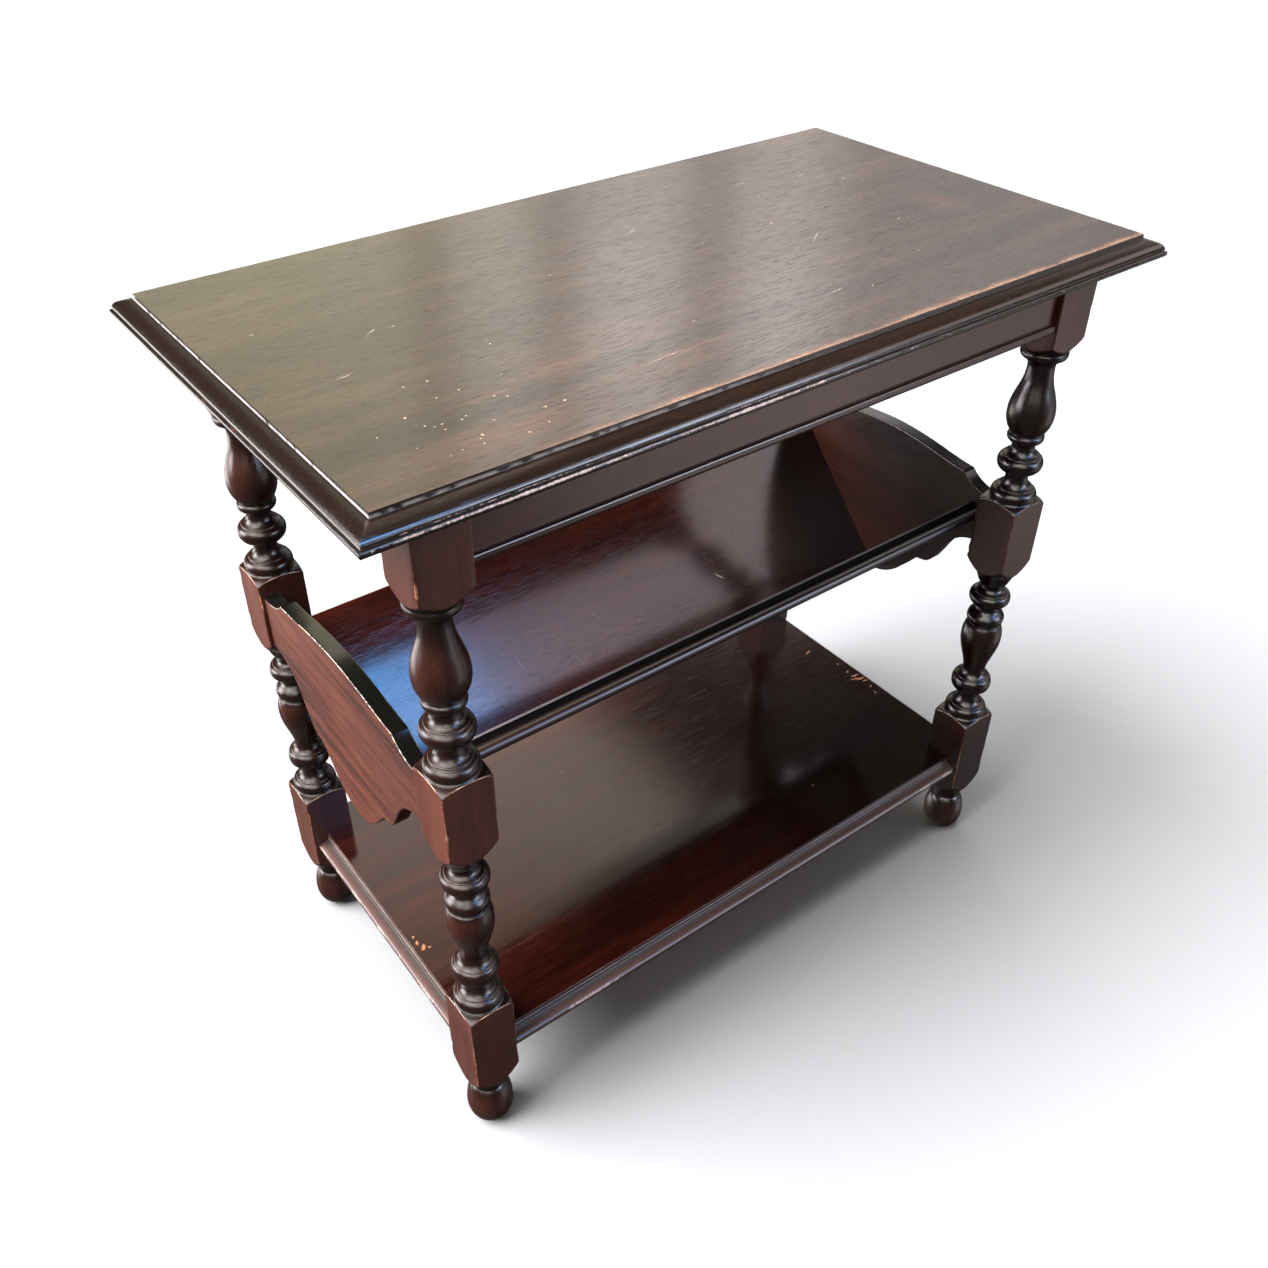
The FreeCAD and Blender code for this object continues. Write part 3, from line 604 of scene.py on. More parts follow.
def trough_more(g, co, x, y, z, col, rough, height, gv, fine, patch, breakup, rubs):
    """Pale scratches on the inner face of the back board, and painted shade darkening the right-hand end."""
    inner = g.span(g.math("SUBTRACT", z, g.math("MULTIPLY", y, SLOPE)), 0.2412, 0.2420)
    flat = g.comb(x, y, HEIGHT * 0.001)
    dash = g.math("MULTIPLY", marks(g, flat, TROUGH_CUTS[:1], 0.3, rough), inner)
    cut = g.math("MULTIPLY", marks(g, flat, TROUGH_CUTS[1:], 0.2, dash), inner)
    col = g.mix(g.math("MULTIPLY", cut, g.span(breakup, 0.35, 0.6, 0.03, 0.26)), col, lin(190, 176, 170))
    col = g.mix(g.math("MULTIPLY", dash, 0.85), col, lin(226, 216, 212))
    # painted shade: the right-hand end of the boards darkens to near-black
    col = g.mix(g.span(x, 0.17, 0.225, 0.0, 0.85), col, (0.003, 0.002, 0.002))
    hatch = g.math("MAXIMUM", g.noise(g.vec("MULTIPLY", co, (900.0, 60.0, 60.0)), 1.0, 2.0), g.noise(g.vec("MULTIPLY", co, (90.0, 1100.0, 1100.0)), 1.0, 2.0))
    return dict(col=col, rough=g.math("ADD", rough, g.span(hatch, 0.5, 0.75, 0.0, 0.06)))


def shelf_more(g, co, x, y, z, col, rough, height, gv, fine, patch, breakup, rubs):
    """Finish broken away in a few places near the edges, and painted shade darkening the top towards the right."""
    near = g.vec("ADD", g.comb(x, y, HEIGHT * 0.001), g.vec("SCALE", g.comb(g.math("SUBTRACT", fine, 0.5), g.math("SUBTRACT", breakup, 0.5), 0.0), 0.006))
    gone = g.math("MULTIPLY", marks(g, near, SHELF_CHIPS, 0.5, rough), g.span(z, 0.1036, 0.1042))
    col = g.mix(g.math("MULTIPLY", gone, 0.85), col, g.mix(breakup, lin(120, 66, 40), lin(190, 134, 92)))
    # painted shade: the top of the shelf darkens towards the right-hand end
    far = g.math("MULTIPLY", g.span(x, -0.03, 0.13, 0.0, 0.86), g.span(z, 0.1030, 0.1040))
    col = g.mix(g.math("MULTIPLY", far, g.math("SUBTRACT", 1.0, gone)), col, (0.0035, 0.0012, 0.0010))
    rough = g.math("ADD", rough, g.span(fine, 0.48, 0.72, 0.0, 0.07))
    return dict(col=col, rough=g.math("ADD", rough, g.math("MULTIPLY", gone, 0.4)))


mat_top = wood("top_walnut", "X", lin(22, 14, 10), lin(36, 24, 18), lin(60, 41, 31), rough=0.18, coat=0.25,
               coat_rough=0.12, edge=(0.8, 1.6), edge_amount=0.4, seed=1.0, more=top_more, grain_bump=0.20, wave=0.12, figure=1.0,
               worn=lin(120, 84, 68), bare=lin(214, 190, 172), chips=(lin(146, 108, 100), lin(222, 196, 188)))
mat_leg = wood("leg_walnut", "Z", lin(66, 31, 24), lin(98, 51, 40), lin(120, 68, 54), rough=0.32, coat=0.12, coat_rough=0.25, figure=0.95, worn=lin(150, 104, 80), bare=lin(214, 190, 164),
               edge=(0.75, 1.55), edge_amount=0.85, seed=2.0, chips=(lin(140, 74, 50), lin(208, 150, 112)))
mat_apron = wood("apron_walnut", "X", DARK, MID, LIGHT, rough=0.24, coat=0.35, coat_rough=0.15, seed=3.0, edge_amount=0.4, wave=0.15, figure=0.7)
mat_apron_y = wood("apron_end_walnut", "Y", DARK, MID, LIGHT, rough=0.24, coat=0.35, coat_rough=0.15, seed=3.5, edge_amount=0.4, wave=0.15, figure=0.7)
mat_end = wood("rack_end_walnut", "Y", lin(50, 22, 16), lin(88, 43, 31), lin(114, 62, 46), rough=0.40, coat=0.1, coat_rough=0.2, seed=4.0, figure=1.3,
               edge=(0.95, 1.35), edge_amount=0.6, chips=(lin(190, 166, 142), lin(236, 224, 206)), mould=(lin(10, 10, 8), 0.22, 0.0))
mat_trough = wood("trough_walnut", "X", lin(36, 12, 8), lin(62, 23, 16), lin(90, 38, 27), rough=0.13, coat=0.1, coat_rough=0.10, dull=True, seed=5.0, edge_amount=0.1,
                  wave=0.10, grain_bump=0.05, more=trough_more, mould=(lin(30, 24, 24), 0.38, 0.0))
mat_shelf = wood("shelf_walnut", "X", lin(16, 4, 3), lin(32, 8, 5), lin(54, 17, 11), rough=0.12, coat=0.12, coat_rough=0.10, seed=6.0, edge_amount=0.3, worn=lin(110, 84, 74), bare=lin(196, 176, 164),
                 grain_bump=0.05, wave=0.06, bump=0.5, more=shelf_more, mould=(lin(82, 60, 56), 0.42, 0.15), chips=(lin(122, 92, 84), lin(196, 174, 168)))
mat_dowel = wood("bare_beech", "X", lin(150, 118, 82), lin(186, 150, 108), lin(210, 178, 136), rough=0.7, coat=0.0, seed=7.0, edge_amount=0.1)
mat_block = wood("bare_pine", "X", lin(140, 104, 66), lin(176, 136, 92), lin(200, 164, 118), rough=0.75, coat=0.0, seed=8.0, edge_amount=0.1)


def dull_steel():
    m = bpy.data.materials.new("dull_steel")
    m.use_nodes = True
    t = m.node_tree
    t.nodes.clear()
    g = Graph(t)
    co = g.node("ShaderNodeTexCoord").outputs["Object"]
    n = g.noise(co, 900.0, 3.0)
    s = g.node("ShaderNodeBsdfPrincipled")
    g.put(s.inputs["Base Color"], g.ramp(n, [(0.35, lin(70, 62, 56)), (0.6, lin(132, 126, 120))]))
    s.inputs["Metallic"].default_value = 1.0
    g.put(s.inputs["Roughness"], g.span(n, 0.3, 0.7, 0.3, 0.6))
    o = g.node("ShaderNodeOutputMaterial")
    t.links.new(s.outputs[0], o.inputs[0])
    return m


for node, mat in (("apron_dowels", mat_dowel), ("rack_end_dowels", mat_dowel), ("trough_dowels", mat_dowel),
                  ("shelf_dowels", mat_dowel), ("top_glue_blocks", mat_block), ("top_screws", dull_steel())):
    data = NODES[node].data
    data.materials.clear()
    data.materials.append(mat)


# ------------------------------------------------------------------ top
def build_top():
    prof = fillet(outline(TOP_EDGE, 0.7, 1.2), 0.55, 20.0)
    prof = np.concatenate([[(-2.0, 0.0), (-0.9, 0.0)], prof, [(11.0, TOP_T), (8.0, TOP_T)]])
    nx, ny = 250, 140
    sx, sy = np.linspace(-1, 1, nx + 1), np.linspace(-1, 1, ny + 1)
    side = np.concatenate([np.zeros(nx), np.ones(ny), np.full(nx, 2), np.full(ny, 3)])

    def ring(hx, hy, z):
        f = [np.stack([sx[:-1] * hx, np.full(nx, -hy)], 1), np.stack([np.full(ny, hx), sy[:-1] * hy], 1),
             np.stack([-sx[:-1] * hx, np.full(nx, hy)], 1), np.stack([np.full(ny, -hx), -sy[:-1] * hy], 1)]
        f = np.concatenate(f)
        return np.concatenate([f, np.full((len(f), 1), z)], 1)
    base = ring(FIELD_X, FIELD_Y, 0)
    run = np.concatenate([[0], np.cumsum(np.linalg.norm(np.diff(base, axis=0), axis=1))])
    front = np.isclose(side, 0)
    # bead and arrises knocked about, most of all along the front and the left
    left = np.isclose(side, 3)
    where = np.interp(base[:, 0], [-330, -250, -200, -30, 10, 130, 330], [0.60, 0.66, 0.78, 0.78, 0.58, 0.44, 0.28])
    small, tiny = line_noise(run / 7.0, 3), line_noise(run / 2.7, 4)
    runs = smooth(0.30, 0.62, line_noise(run / 34.0, 5))
    bead_nick = np.where(front, where * (0.66 + 0.34 * runs) + 0.42 * (small - 0.5) + 0.3 * (tiny - 0.5),
                         np.where(left, 0.26 + 0.35 * (small - 0.5) + 0.3 * (tiny - 0.5), 0.30 * runs * small))
    ledge_nick = np.where(front, 0.75 * where * runs + 0.4 * (tiny - 0.5), np.where(left, 0.30 + 0.5 * (tiny - 0.5), 0.25 * small))
    bead_nick, ledge_nick = np.clip(bead_nick, 0, 1), np.clip(ledge_nick, 0, 1)
    arris_nick = smooth(0.66, 0.86, line_noise(run / 7.0, 8)) * np.where(front, 0.8, 0.5)
    # pale lines on the left fillet and under the front arris: worn finish and painted highlight
    left_line = np.where(left, smooth(0.16, 0.42, line_noise(run / 3.0, 9)) * (0.75 + 0.5 * (line_noise(run / 30.0, 10) - 0.5)), 0.0)
    left_line = np.maximum(left_line, np.where(front, 0.6 * smooth(30.0, -140.0, base[:, 0]) * smooth(0.25, 0.55, line_noise(run / 4.0, 12)), 0.0))
    rings, chips, lines = [], [], []
    for o, d in prof:
        on_bead = math.exp(-((d - 12.7) / 1.0) ** 2) if o > 11.6 and d > 11.4 else 0.0
        on_ledge = math.exp(-((d - 10.3) / 0.7) ** 2) if o > 11 and d < 11.1 else 0.0
        on_arris = math.exp(-(d / 0.8) ** 2) if -0.6 < o < 0.5 else 0.0
        on_fillet = float(smooth(1.2, 1.9, d) * (d < 3.3) * (o < 0.6))
        cut = 0.6 * on_bead * bead_nick + 0.4 * on_ledge * ledge_nick + 0.4 * on_arris * arris_nick
        p = ring(FIELD_X + o, FIELD_Y + o, HEIGHT - d)
        n = np.array([[0, -1], [1, 0], [0, 1], [-1, 0]])[side.astype(int)]
        p[:, :2] -= n * cut[:, None]
        rings.append(p)
        chips.append(np.clip(np.maximum(on_bead * bead_nick, on_ledge * ledge_nick), 0, 1))
        lines.append(on_fillet * left_line)
    s = Shape()
    # painted shade with soiling in the quirk under the ovolo and at the foot of the fillet
    soil_and_shade = [0.9 * float(10.9 < d < 11.8 and o < 12.4) + 0.5 * float(3.3 < d < 3.9 and o < 1.2) for o, d in prof]
    ids = s.grid(np.stack(rings), wrap=True, chip=np.stack(chips), pale=np.stack(lines), dirt=np.array(soil_and_shade)[:, None], mould=smooth(-0.3, 0.25, prof[:, 0])[:, None] * np.where(left, 1.0, 0.75)[None, :])
    hx, hy = FIELD_X - 2.0, FIELD_Y - 2.0
    gx, gy = np.meshgrid(sx * hx, sy * hy)
    s.grid(np.stack([gx, gy, np.full_like(gx, HEIGHT)], -1))
    s.face(ids[-1])
    s.make("tabletop_visual", mat_top, "top_wood", "tabletop")


build_top()


# ------------------------------------------------------------------ legs
def square_radius(th, half, rc):
    """Distance from the axis to a square with rounded corners, by angle."""
    a = np.abs((th + math.pi / 4) % (math.pi / 2) - math.pi / 4)
    s = half / np.cos(a)
    c = half - rc
    cu = c * (np.cos(a) + np.sin(a))
    arc = cu + np.sqrt(np.maximum(rc * rc - 2 * c * c + cu * cu, 0))
    return np.where(half * np.tan(a) > c, arc, s)


def soft_min(a, b, k):
    h = np.clip(0.5 + 0.5 * (b - a) / k, 0, 1)
    return b * (1 - h) + a * h - k * h * (1 - h)


def build_leg(name, sx, sy, seed, painted_shade):
    prof = fillet(outline(LEG, 0.85, 5.0), 0.3)
    offs = np.array([0, 0.6, 1.2, 1.9, 2.7, 3.8, 5.4, 7.8, 11, 15, 19.5, 24.5, 29.5, 34.5, 39.7])
    q = np.concatenate([-offs[:0:-1], offs, [45.0]])
    th = np.radians(np.concatenate([45 + 90 * k + q for k in range(4)]))
    near = np.concatenate([q for _ in range(4)])
    which = np.repeat(np.arange(4), len(q))
    sq = square_radius(th, BLOCK / 2, 0.9)[None, :]
    r, z = prof[:, 0][:, None], prof[:, 1][:, None]
    rho = soft_min(r, sq, 0.9)
    # arrises knocked about
    dist = np.abs(np.radians(near))[None, :] * 26.5
    noise = np.stack([line_noise(prof[:, 1] / 6.0, seed * 7 + k) for k in range(4)], 1)[:, which]
    low = np.stack([line_noise(prof[:, 1] / 23.0, seed * 11 + k) for k in range(4)], 1)[:, which]
    on = smooth(-0.2, 0.6, r - sq)
    rho = rho - on * np.exp(-(dist / 1.5) ** 2) * (0.1 + 0.9 * smooth(0.55, 0.9, noise) + 0.5 * smooth(0.5, 0.8, low))
    knock = np.exp(-(dist / 1.5) ** 2 - ((z - 541.0) / 5.0) ** 2) * (which == 2)[None, :] * (name == "leg_front_left")
    rho = rho - 0.8 * knock
    p = np.stack([sx * LEG_X + rho * np.cos(th)[None, :], sy * LEG_Y + rho * np.sin(th)[None, :], np.broadcast_to(z, rho.shape)], -1)
    s = Shape()
    plain = np.maximum(smooth(447.0, 452.0, z) * smooth(506.0, 472.0, z), np.maximum(smooth(206.0, 222.0, z) * smooth(256.0, 251.0, z), smooth(44.0, 30.0, z)))
    # painted shade: the legs get darker low down, each block at its given level, the foot only a little
    painted_shade_by_height = np.interp(z, [0, 46, 62, 130, 165, 345, 520, 560], [0.1, 0.1, painted_shade[0], painted_shade[0], painted_shade[1], painted_shade[1], painted_shade[2], painted_shade[2]])
    ids = s.grid(p, wrap=True, ring=1 - plain, shade=painted_shade_by_height, turned=1 - smooth(-0.3, 0.3, r - sq), chip=0.30 * smooth(36.0, 24.0, z) * smooth(0.5, 8.0, z) + on * np.exp(-(dist / 1.6) ** 2) * (0.22 + 0.3 * smooth(0.45, 0.7, low)) + 0.8 * knock)
    s.face(ids[0])
    s.face(ids[-1])
    s.make(name + "_visual", mat_leg, "leg_wood", name)


# the last numbers are painted shade for the lower, middle and upper blocks, deepest on the front right leg
for k, (n, sx, sy, painted_shade) in enumerate((("front_left", -1, -1, (0.42, 0.05, 0.0)), ("front_right", 1, -1, (0.97, 0.58, 0.2)),
                                        ("back_left", -1, 1, (0.28, 0.18, 0.0)), ("back_right", 1, 1, (0.6, 0.36, 0.15)))):
    build_leg("leg_" + n, sx, sy, k + 1, painted_shade)


# ------------------------------------------------------------------ aprons
def build_aprons():
    z1 = APRON_Z0 + BEAD_H
    board = np.array([(0, TOP_Z0), (0, z1), (BEAD_DEPTH, z1), (BEAD_DEPTH, APRON_Z0), (APRON_T, APRON_Z0), (APRON_T, TOP_Z0)], float)
    board = braced(fillet(board, 0.5, closed=True))
    zm = APRON_Z0 + BEAD_H / 2
    t = -BEAD_REACH
    bead = outline([("L", (BEAD_DEPTH, APRON_Z0)), ("L", (0, APRON_Z0)),
                    ("B", (t * 0.9, APRON_Z0), (t, APRON_Z0 + 1.2), (t, zm)),
                    ("B", (t, z1 - 1.2), (t * 0.9, z1), (0, z1)), ("L", (BEAD_DEPTH, z1))], 0.7, 9.0)
    for side, turn, half, out in (("front", 0, IN_X, APRON_OUT_Y), ("right", 90, IN_Y, APRON_OUT_X),
                                  ("back", 180, IN_X, APRON_OUT_Y), ("left", 270, IN_Y, APRON_OUT_X)):
        c, sn = round(math.cos(math.radians(turn))), round(math.sin(math.radians(turn)))

        def at(s, pr):
            x, y = np.full(len(pr), s), pr[:, 0] - out
            return np.stack([x * c - y * sn, x * sn + y * c, pr[:, 1]], 1)
        along = np.linspace(-half, half, int(half / 2))
        mat = mat_apron if side in ("front", "back") else mat_apron_y
        bar(board, at, along).make("apron_%s_visual" % side, mat, "apron_wood", "apron_" + side)
        bar(bead, at, along, mould=0.5).make("apron_bead_%s_visual" % side, mat, "apron_wood", "apron_bead_" + side)


build_aprons()


# ------------------------------------------------------------------ rack ends
def end_outline():
    def both(rows):
        return [(-y, z) for y, z in rows[::-1]] + rows[1:]
    top = curve_through(both(END_TOP))
    lobe = curve_through(both(END_LOBE))
    tc, bump, cove = (curve_through(r) for r in (END_TOP_COVE, END_BUMP, END_COVE))
    flip = np.array([-1.0, 1.0])
    # anticlockwise seen from +X: from the front leg along the bottom to the back, then over the top
    low = [(cove * flip)[::-1], (bump * flip)[::-1], lobe, bump, cove]
    high = [tc[::-1], top[::-1], tc * flip]
    pts = []
    for part in low + high:
        for p in part:
            if not pts or np.linalg.norm(p - pts[-1]) > 1e-6:
                pts.append(p)
    side = np.linspace(END_TOP_COVE[-1][1], END_COVE[-1][1], 12)[1:-1]
    pts += [np.array([-IN_Y, z]) for z in side]
    mid = [np.array([IN_Y, z]) for z in side[::-1]]
    k = sum(len(p) for p in low) - len(low) + 1
    return np.array(pts[:k] + mid + pts[k:])


def inset(p, d):
    a, b = np.roll(p, 1, 0), np.roll(p, -1, 0)
    u = (p - a) / np.linalg.norm(p - a, axis=1)[:, None]
    v = (b - p) / np.linalg.norm(b - p, axis=1)[:, None]
    nu, nv = np.stack([-u[:, 1], u[:, 0]], 1), np.stack([-v[:, 1], v[:, 0]], 1)
    n = (nu + nv) / np.maximum(1 + (nu * nv).sum(1), 0.6)[:, None]
    return p + n * d


def build_end(name, sign, painted_shade):
    p = end_outline()
    rings, r = [], 0.9
    for depth, face in [(2.6, 0.0), (1.5, 0.0)] + [(r - r * math.sin(a), r - r * math.cos(a)) for a in np.linspace(0, math.pi / 2, 5)]:
        rings.append((depth, face))
    rings += [(0.0, r + 0.5), (0.0, r + 1.4)]
    full = rings + [(0.0, END_T / 2)] + [(d, END_T - f) for d, f in rings[::-1]]
    s = Shape()
    stack = []
    for d, x in full:
        q = inset(p, d)
        q[:, 0] = np.clip(q[:, 0], -IN_Y, IN_Y)
        stack.append(np.stack([np.full(len(q), -END_OUT + x), q[:, 0], q[:, 1]], 1))
    stack = np.stack(stack)
    stack[..., :2] *= -sign
    rim = np.array([smooth(1.2, 0.2, d) for d, _ in full])
    upper = smooth(371.0, 375.0, p[:, 1]) * (np.abs(p[:, 0]) < IN_Y - 1)
    # a pale line along the outer upper arris, set as chips: worn arris and painted highlight
    line = np.array([math.exp(-((d - 0.35) / 0.3) ** 2) * (x < END_T / 2) for d, x in full])
    worn = line[:, None] * upper[None, :] * (0.50 + 0.3 * line_noise(p[:, 0] / 9.0, 21))[None, :]
    # painted shade: the whole board is darkened by the given amount
    ids = s.grid(stack, wrap=True, mould=rim[:, None], chip=worn, shade=painted_shade)
    s.face(ids[0])
    s.face(ids[-1])
    s.make(name + "_visual", mat_end, "rack_wood", name)


# the right end gets painted shade
build_end("rack_end_left", -1, 0.0)
build_end("rack_end_right", 1, 0.6)

# ------------------------------------------------------------------ trough
NORM = math.hypot(1, SLOPE)
RUN, RISE = 1 / NORM, SLOPE / NORM
TROUGH = END_OUT - END_T


def sweep_x(s, pr):
    return np.stack([np.full(len(pr), s), pr[:, 0], pr[:, 1]], 1)


def build_trough():
    ay, az = FRONT_Y, APEX_Z + SLOPE * (APEX_Y - FRONT_Y)
    edge = fillet(outline(TROUGH_NOSING, 0.7, 1.2), 0.3, 20.0)
    top = np.stack([ay - RUN * edge[:, 0] - RISE * edge[:, 1], az + RISE * edge[:, 0] - RUN * edge[:, 1]], 1)
    out = (FLAT_Z - az + RUN * FRONT_T) / RISE
    foot_out = (ay - RUN * out - RISE * FRONT_T, FLAT_Z)
    foot_in = (APEX_Y + (APEX_Z - FLAT_Z) / SLOPE, FLAT_Z)
    support = [(ay + RUN * 1.0, az - RISE * 1.0), (ay + RUN * 0.55, az - RISE * 0.55)]
    nose = np.concatenate([[0, 0], np.full(len(top), 0.8), [0, 0]])
    # painted shade with soiling down in the sunk groove
    groove = np.concatenate([[0, 0.6], (edge[:, 1] > 1.7) & (edge[:, 1] < 6.75) & (edge[:, 0] < 1.0), [0, 0]])
    # a pale line along the arris: worn finish and painted highlight
    rubbed_glint_line = np.concatenate([[0, 0], 0.2 * (edge[:, 1] < 1.65) * (edge[:, 0] > -0.1), [0, 0]])
    prof = braced(np.column_stack([np.concatenate([support, top, [foot_out, foot_in]]), nose, groove, rubbed_glint_line]))
    along = np.linspace(-TROUGH, TROUGH, 180)
    bar(prof, sweep_x, along, mould=prof[None, :, 2], dirt=prof[None, :, 3], pale=prof[None, :, 4]).make("trough_front_board_visual", mat_trough, "rack_wood", "trough_front_board")
    by, bz = BACK_Y, APEX_Z + SLOPE * (BACK_Y - APEX_Y)
    oy, oz = by + RISE * BACK_T, bz - RUN * BACK_T
    low = (oy - (oz - FLAT_Z) / SLOPE, FLAT_Z)
    prof = np.array([(APEX_Y, APEX_Z), (by, bz), (oy, oz), low, foot_in])
    keep = fillet(prof[[0, 1, 2, 3]], 0.9)
    prof = braced(np.concatenate([keep, prof[4:]]))
    bar(prof, sweep_x, along).make("trough_back_board_visual", mat_trough, "rack_wood", "trough_back_board")


build_trough()


# ------------------------------------------------------------------ shelf
def build_shelf():
    prof = fillet(outline(NOSING, 0.7, 1.2), 0.5, 20.0)
    prof = np.concatenate([[(-1.6, 0.0), (-0.8, 0.0)], prof, [(4.5, SHELF_T), (3.0, SHELF_T)]])
    o, d = prof[:, 0], prof[:, 1]
    nose = (0.8 * smooth(-0.3, 0.25, o))[:, None]
    bead = np.where(o > 7.5, np.exp(-((d - 10.0) / 1.6) ** 2), 0.0)[:, None]
    # painted shade with soiling in the groove of the nosing
    groove = (0.8 * ((d > 3.9) & (d < 7.65) & (o < 4.2)))[:, None]
    s = Shape()
    xs, ys = np.linspace(-IN_X, IN_X, 190), np.linspace(-IN_Y, IN_Y, 92)
    strips = {}
    for side, sg in (("front", -1), ("back", 1)):
        run = xs if sg < 0 else xs[::-1]
        p = np.stack([np.broadcast_to(run, (len(o), len(run))), np.broadcast_to((sg * (SHELF_Y + o))[:, None], (len(o), len(run))),
                      np.broadcast_to((SHELF_Z1 - d)[:, None], (len(o), len(run)))], -1)
        worn = bead * (0.22 + 0.5 * smooth(0.45, 0.7, line_noise(run / 14.0, 31)) * smooth(0.4, 0.6, line_noise(run / 60.0, 32)))[None, :]
        strips[side] = s.grid(p, mould=nose, dirt=groove, chip=worn)
    for side, sg in (("right", 1), ("left", -1)):
        run = ys if sg > 0 else ys[::-1]
        p = np.stack([np.broadcast_to((sg * (SHELF_X + o))[:, None], (len(o), len(run))), np.broadcast_to(run, (len(o), len(run))),
                      np.broadcast_to((SHELF_Z1 - d)[:, None], (len(o), len(run)))], -1)
        worn = bead * ((0.26 if sg < 0 else 0.2) + 0.3 * smooth(0.35, 0.65, line_noise(run / 16.0, 33)))[None, :]
        strips[side] = s.grid(p, mould=nose, dirt=groove, chip=worn)
    order = ("front", "right", "back", "left")
    corner = {"front": (1, -1), "right": (1, 1), "back": (-1, 1), "left": (-1, -1)}
    top, low = [], []
    inner = {}
    for side in order:
        cx, cy = corner[side]
        inner[side] = s.add([(cx * IN_X, cy * IN_Y, SHELF_Z1), (cx * IN_X, cy * IN_Y, SHELF_Z1 - SHELF_T)])
        top += [*strips[side][0], inner[side][0]]
        low += [*strips[side][-1], inner[side][1]]
    s.face(top)
    s.face(low)
    for k, side in enumerate(order):
        nxt = order[(k + 1) % 4]
        s.face([*strips[side][:, -1], inner[side][1], inner[side][0]])
        s.face([*strips[nxt][:, 0], inner[side][1], inner[side][0]])
    s.make("lower_shelf_visual", mat_shelf, "shelf_wood", "lower_shelf")


build_shelf()


# ------------------------------------------------------------------ floor, light, camera
def build_floor():
    """Pale floor. The light and reflections on the object come from the room, not from this sheet."""
    mesh = bpy.data.meshes.new("floor")
    e = 30.0
    mesh.from_pydata([(-e, -e, 0), (e, -e, 0), (e, e, 0), (-e, e, 0)], [], [(0, 1, 2, 3)])
    floor = bpy.data.objects.new("floor", mesh)
    bpy.context.scene.collection.objects.link(floor)
    m = bpy.data.materials.new("pale_floor")
    m.use_nodes = True
    s = m.node_tree.nodes["Principled BSDF"]
    s.inputs["Base Color"].default_value = (0.270, 0.278, 0.292, 1)
    s.inputs["Roughness"].default_value = 0.9
    s.inputs["Specular IOR Level"].default_value = 0.05
    mesh.materials.append(m)
    floor.visible_diffuse = False
    floor.visible_glossy = False


def build_backdrop():
    """Plain pale backdrop far off, seen by the camera only."""
    mesh = bpy.data.meshes.new("backdrop")
    bm = bmesh.new()
    bmesh.ops.create_uvsphere(bm, u_segments=64, v_segments=32, radius=29.0)
    bm.to_mesh(mesh)
    bm.free()
    m = bpy.data.materials.new("pale_backdrop")
    m.use_nodes = True
    t = m.node_tree
    t.nodes.clear()
    g = Graph(t)
    e = g.node("ShaderNodeEmission")
    e.inputs["Color"].default_value = (0.98, 0.98, 0.98, 1)
    o = g.node("ShaderNodeOutputMaterial")
    t.links.new(e.outputs[0], o.inputs[0])
    m.cycles.emission_sampling = "NONE"
    mesh.materials.append(m)
    obj = bpy.data.objects.new("backdrop", mesh)
    bpy.context.scene.collection.objects.link(obj)
    obj.visible_diffuse = False
    obj.visible_glossy = False
    obj.visible_transmission = False
    obj.visible_shadow = False


# soft panels of the room: azimuth from +Y towards +X and elevation in degrees, softness of both, colour
ROOM = [
    (-200, 200, 64, 120, 5, 12, (0.55, 0.55, 0.54)),
    (-150, -75, 8, 66, 20, 14, (0.42, 0.38, 0.33)),
    (9, 47.5, 12, 62, 3, 5, (1.5, 1.4, 1.3)),
    (9, 47.5, 21, 62, 3, 4, (3.0, 2.88, 2.78)),
    (9, 47.5, 37, 62, 3, 4, (2.4, 2.06, 1.8)),
    (9, 47.5, 50.2, 90, 3, 5.5, (0.55, 0.44, 0.38)),
    (9, 29, 9, 38, 9, 5, (1.5, 1.47, 1.02)),
    (9, 14, 9, 38, 7, 5, (1.15, 1.04, 0.66)),
    (26.4, 28.4, 5, 38, 0.7, 5, (0.85, 0.74, 0.54)),
    (32.5, 34.7, 5, 38, 1.0, 5, (0.9, 0.78, 0.66)),
    (39.7, 42.1, 5, 38, 0.9, 5, (0.8, 0.74, 0.70)),
    (48, 92, 3, 32, 1.6, 6, (0.72, 0.69, 0.68)),
    (48, 58, 20, 32, 1.6, 2, (1.25, 1.2, 1.2)),
    (96, 140, 16, 40, 6, 5, (1.8, 1.5, 1.45)),
    (124, 142, 30, 40.5, 4, 4, (3.0, 2.6, 2.65)),
    (142, 168, 33, 41, 3, 4, (3.5, 2.92, 3.2)),
]
GROUND = [
    (-200, 200, -50, -2, 5, 8, (0.10, 0.092, 0.09)),
    (-165, 25, -120, -2, 30, 4, (0.15, 0.138, 0.13)),
    (-48, -9, -27, -13, 6, 2.5, (4.2, 4.0, 3.9)),
    (-62, -49, -40, -16, 5, 5, (0.5, 0.42, 0.42)),
    (146, 172, -52, -2, 4, 6, (0.24, 0.22, 0.21)),
    (104, 149, -34, -2, 4, 3.5, (0.56, 0.52, 0.52)),
    (128, 149, -34, -2, 4, 3.5, (1.25, 1.1, 1.08)),
]

# panels seen only in the shine: azimuth and elevation from and to, colour
SHINE = [
    (-165, -125, 16, 70, (4.2, 4.05, 3.9)),
    (-125, -85, 16, 70, (4.2, 4.05, 3.9)),
    (-85, -45, 16, 70, (4.2, 4.05, 3.9)),
    (-112, -86, 36, 56, (5.0, 4.9, 4.8)),
    (153.5, 168, 34, 50, (1.5, 6.5, 15.5)),
    (137, 160, 6, 29, (7.6, 9.1, 11.4)),
    (-72, -42, -6, 26, (13.0, 12.4, 13.0)),
]


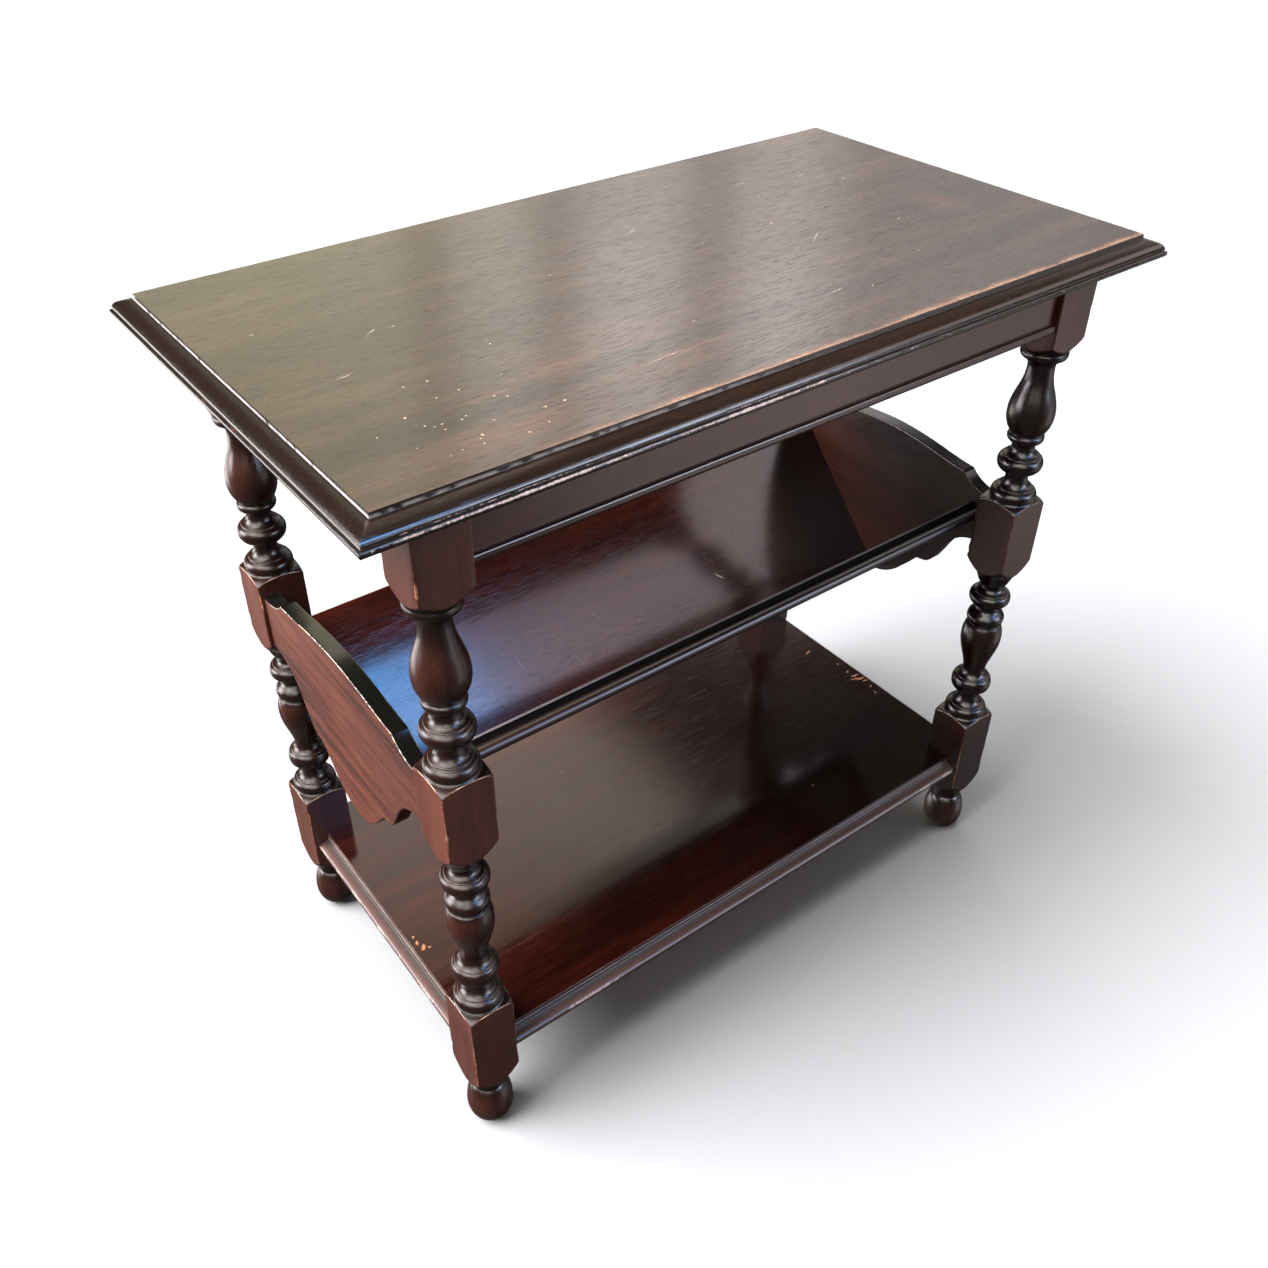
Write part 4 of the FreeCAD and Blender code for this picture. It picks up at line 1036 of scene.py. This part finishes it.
def build_world():
    """Soft room light: pale ceiling, bright panels behind and to the left, a sky panel at the front."""
    world = bpy.data.worlds.new("room")
    bpy.context.scene.world = world
    world.use_nodes = True
    t = world.node_tree
    t.nodes.clear()
    g = Graph(t)
    d = g.node("ShaderNodeTexCoord").outputs["Generated"]
    x, y, z = g.sep(d)
    az = g.math("MULTIPLY", g.math("ARCTAN2", x, y), 180 / math.pi)
    el = g.math("MULTIPLY", g.math("ARCSINE", z), 180 / math.pi)

    def patch(a0, a1, e0, e1, soft_a, soft_e):
        r = g.math("MULTIPLY", g.span(el, e0 - soft_e, e0 + soft_e), g.span(el, e1 - soft_e, e1 + soft_e, 1.0, 0.0))
        if a0 <= -180:
            return r
        s = g.math("MULTIPLY", g.span(az, a0 - soft_a, a0 + soft_a), g.span(az, a1 - soft_a, a1 + soft_a, 1.0, 0.0))
        return g.math("MULTIPLY", s, r)
    col = g.mix(g.span(el, 0, 60), (0.07, 0.06, 0.045), (0.15, 0.14, 0.13))
    for *where, colour in ROOM:
        col = g.mix(patch(*where), col, colour)
    # a dark corner behind on the right, with a slanting edge
    slant = g.math("SUBTRACT", az, g.math("MULTIPLY", g.math("SUBTRACT", el, 42.0), 1.5))
    corner = g.math("MULTIPLY", g.span(slant, 33.0, 37.5), g.math("MULTIPLY", g.span(el, 33.0, 38.0), g.math("MULTIPLY", g.span(az, 0.0, 25.0), g.span(az, 105.0, 122.0, 1.0, 0.0))))
    col = g.mix(corner, col, (0.10, 0.085, 0.08))
    low = (0.05, 0.043, 0.04)
    for *where, colour in GROUND:
        low = g.mix(patch(*where), low, colour)
    col = g.mix(g.span(el, -3.0, 0.0), low, col)
    b = g.node("ShaderNodeBackground")
    g.put(b.inputs["Color"], col)
    b.inputs["Strength"].default_value = 1.0
    o = g.node("ShaderNodeOutputWorld")
    t.links.new(b.outputs[0], o.inputs[0])


def look(at, to):
    from mathutils import Vector
    f = (Vector(to) - Vector(at)).normalized()
    r = f.cross(Vector((0, 0, 1))).normalized()
    u = r.cross(f)
    m = Matrix((r, u, -f)).transposed().to_4x4()
    m.translation = Vector(at)
    return m


def shine(k, az0, az1, el0, el1, colour, dist=9.0):
    """A soft panel far off, facing the object, that gives highlights and no other light."""
    a, e, most = math.radians((az0 + az1) / 2), math.radians((el0 + el1) / 2), max(colour)
    data = bpy.data.lights.new("shine_%d" % k, "AREA")
    data.shape = "RECTANGLE"
    data.size = 2 * dist * math.tan(math.radians(az1 - az0) / 2) * math.cos(e)
    data.size_y = 2 * dist * math.tan(math.radians(el1 - el0) / 2)
    data.energy = math.pi * data.size * data.size_y * most
    data.color = tuple(c / most for c in colour)
    obj = bpy.data.objects.new("shine_%d" % k, data)
    bpy.context.scene.collection.objects.link(obj)
    obj.visible_diffuse = False
    obj.visible_camera = False
    obj.matrix_world = look((dist * math.sin(a) * math.cos(e), dist * math.cos(a) * math.cos(e), dist * math.sin(e) + 0.35), (0.0, 0.0, 0.35))


build_floor()
build_backdrop()
build_world()
for k, row in enumerate(SHINE):
    shine(k, *row)
sun = bpy.data.lights.new("key_left", "SUN")
sun.energy = 12.0
sun.angle = math.radians(46.0)
sun.color = (1.0, 0.985, 0.96)
key = bpy.data.objects.new("key_left", sun)
bpy.context.scene.collection.objects.link(key)
key.visible_glossy = False
key.matrix_world = look((-1.66, 0.66, 2.1), (0.0, 0.0, 0.0))

over = bpy.data.lights.new("soft_overhead", "SUN")
over.energy = 3.2
over.angle = math.radians(44.0)
lamp = bpy.data.objects.new("soft_overhead", over)
bpy.context.scene.collection.objects.link(lamp)
lamp.visible_glossy = False
lamp.matrix_world = look((-0.12, 0.12, 1.0), (0.0, 0.0, 0.0))

cam = bpy.data.cameras.new("photo_view")
cam.sensor_width = 36.0
cam.lens = 1227.464 / 1268 * 36.0
cam.shift_x = (634.0 - 605.133) / 1268
cam.shift_y = (619.789 - 634.0) / 1268
cam.clip_end = 100.0
view = bpy.data.objects.new("photo_view", cam)
bpy.context.scene.collection.objects.link(view)
right = (0.8080191, -0.5890917, -0.0087188)
down = (-0.3630188, -0.4861646, -0.7948971)
ahead = (0.4640285, 0.6454571, -0.6066817)
m = Matrix(((right[0], -down[0], -ahead[0]), (right[1], -down[1], -ahead[1]), (right[2], -down[2], -ahead[2]))).to_4x4()
m.translation = (-0.5154, -0.6482, 0.9275)
view.matrix_world = m
bpy.context.scene.camera = view
bpy.context.scene.view_settings.view_transform = "Standard"
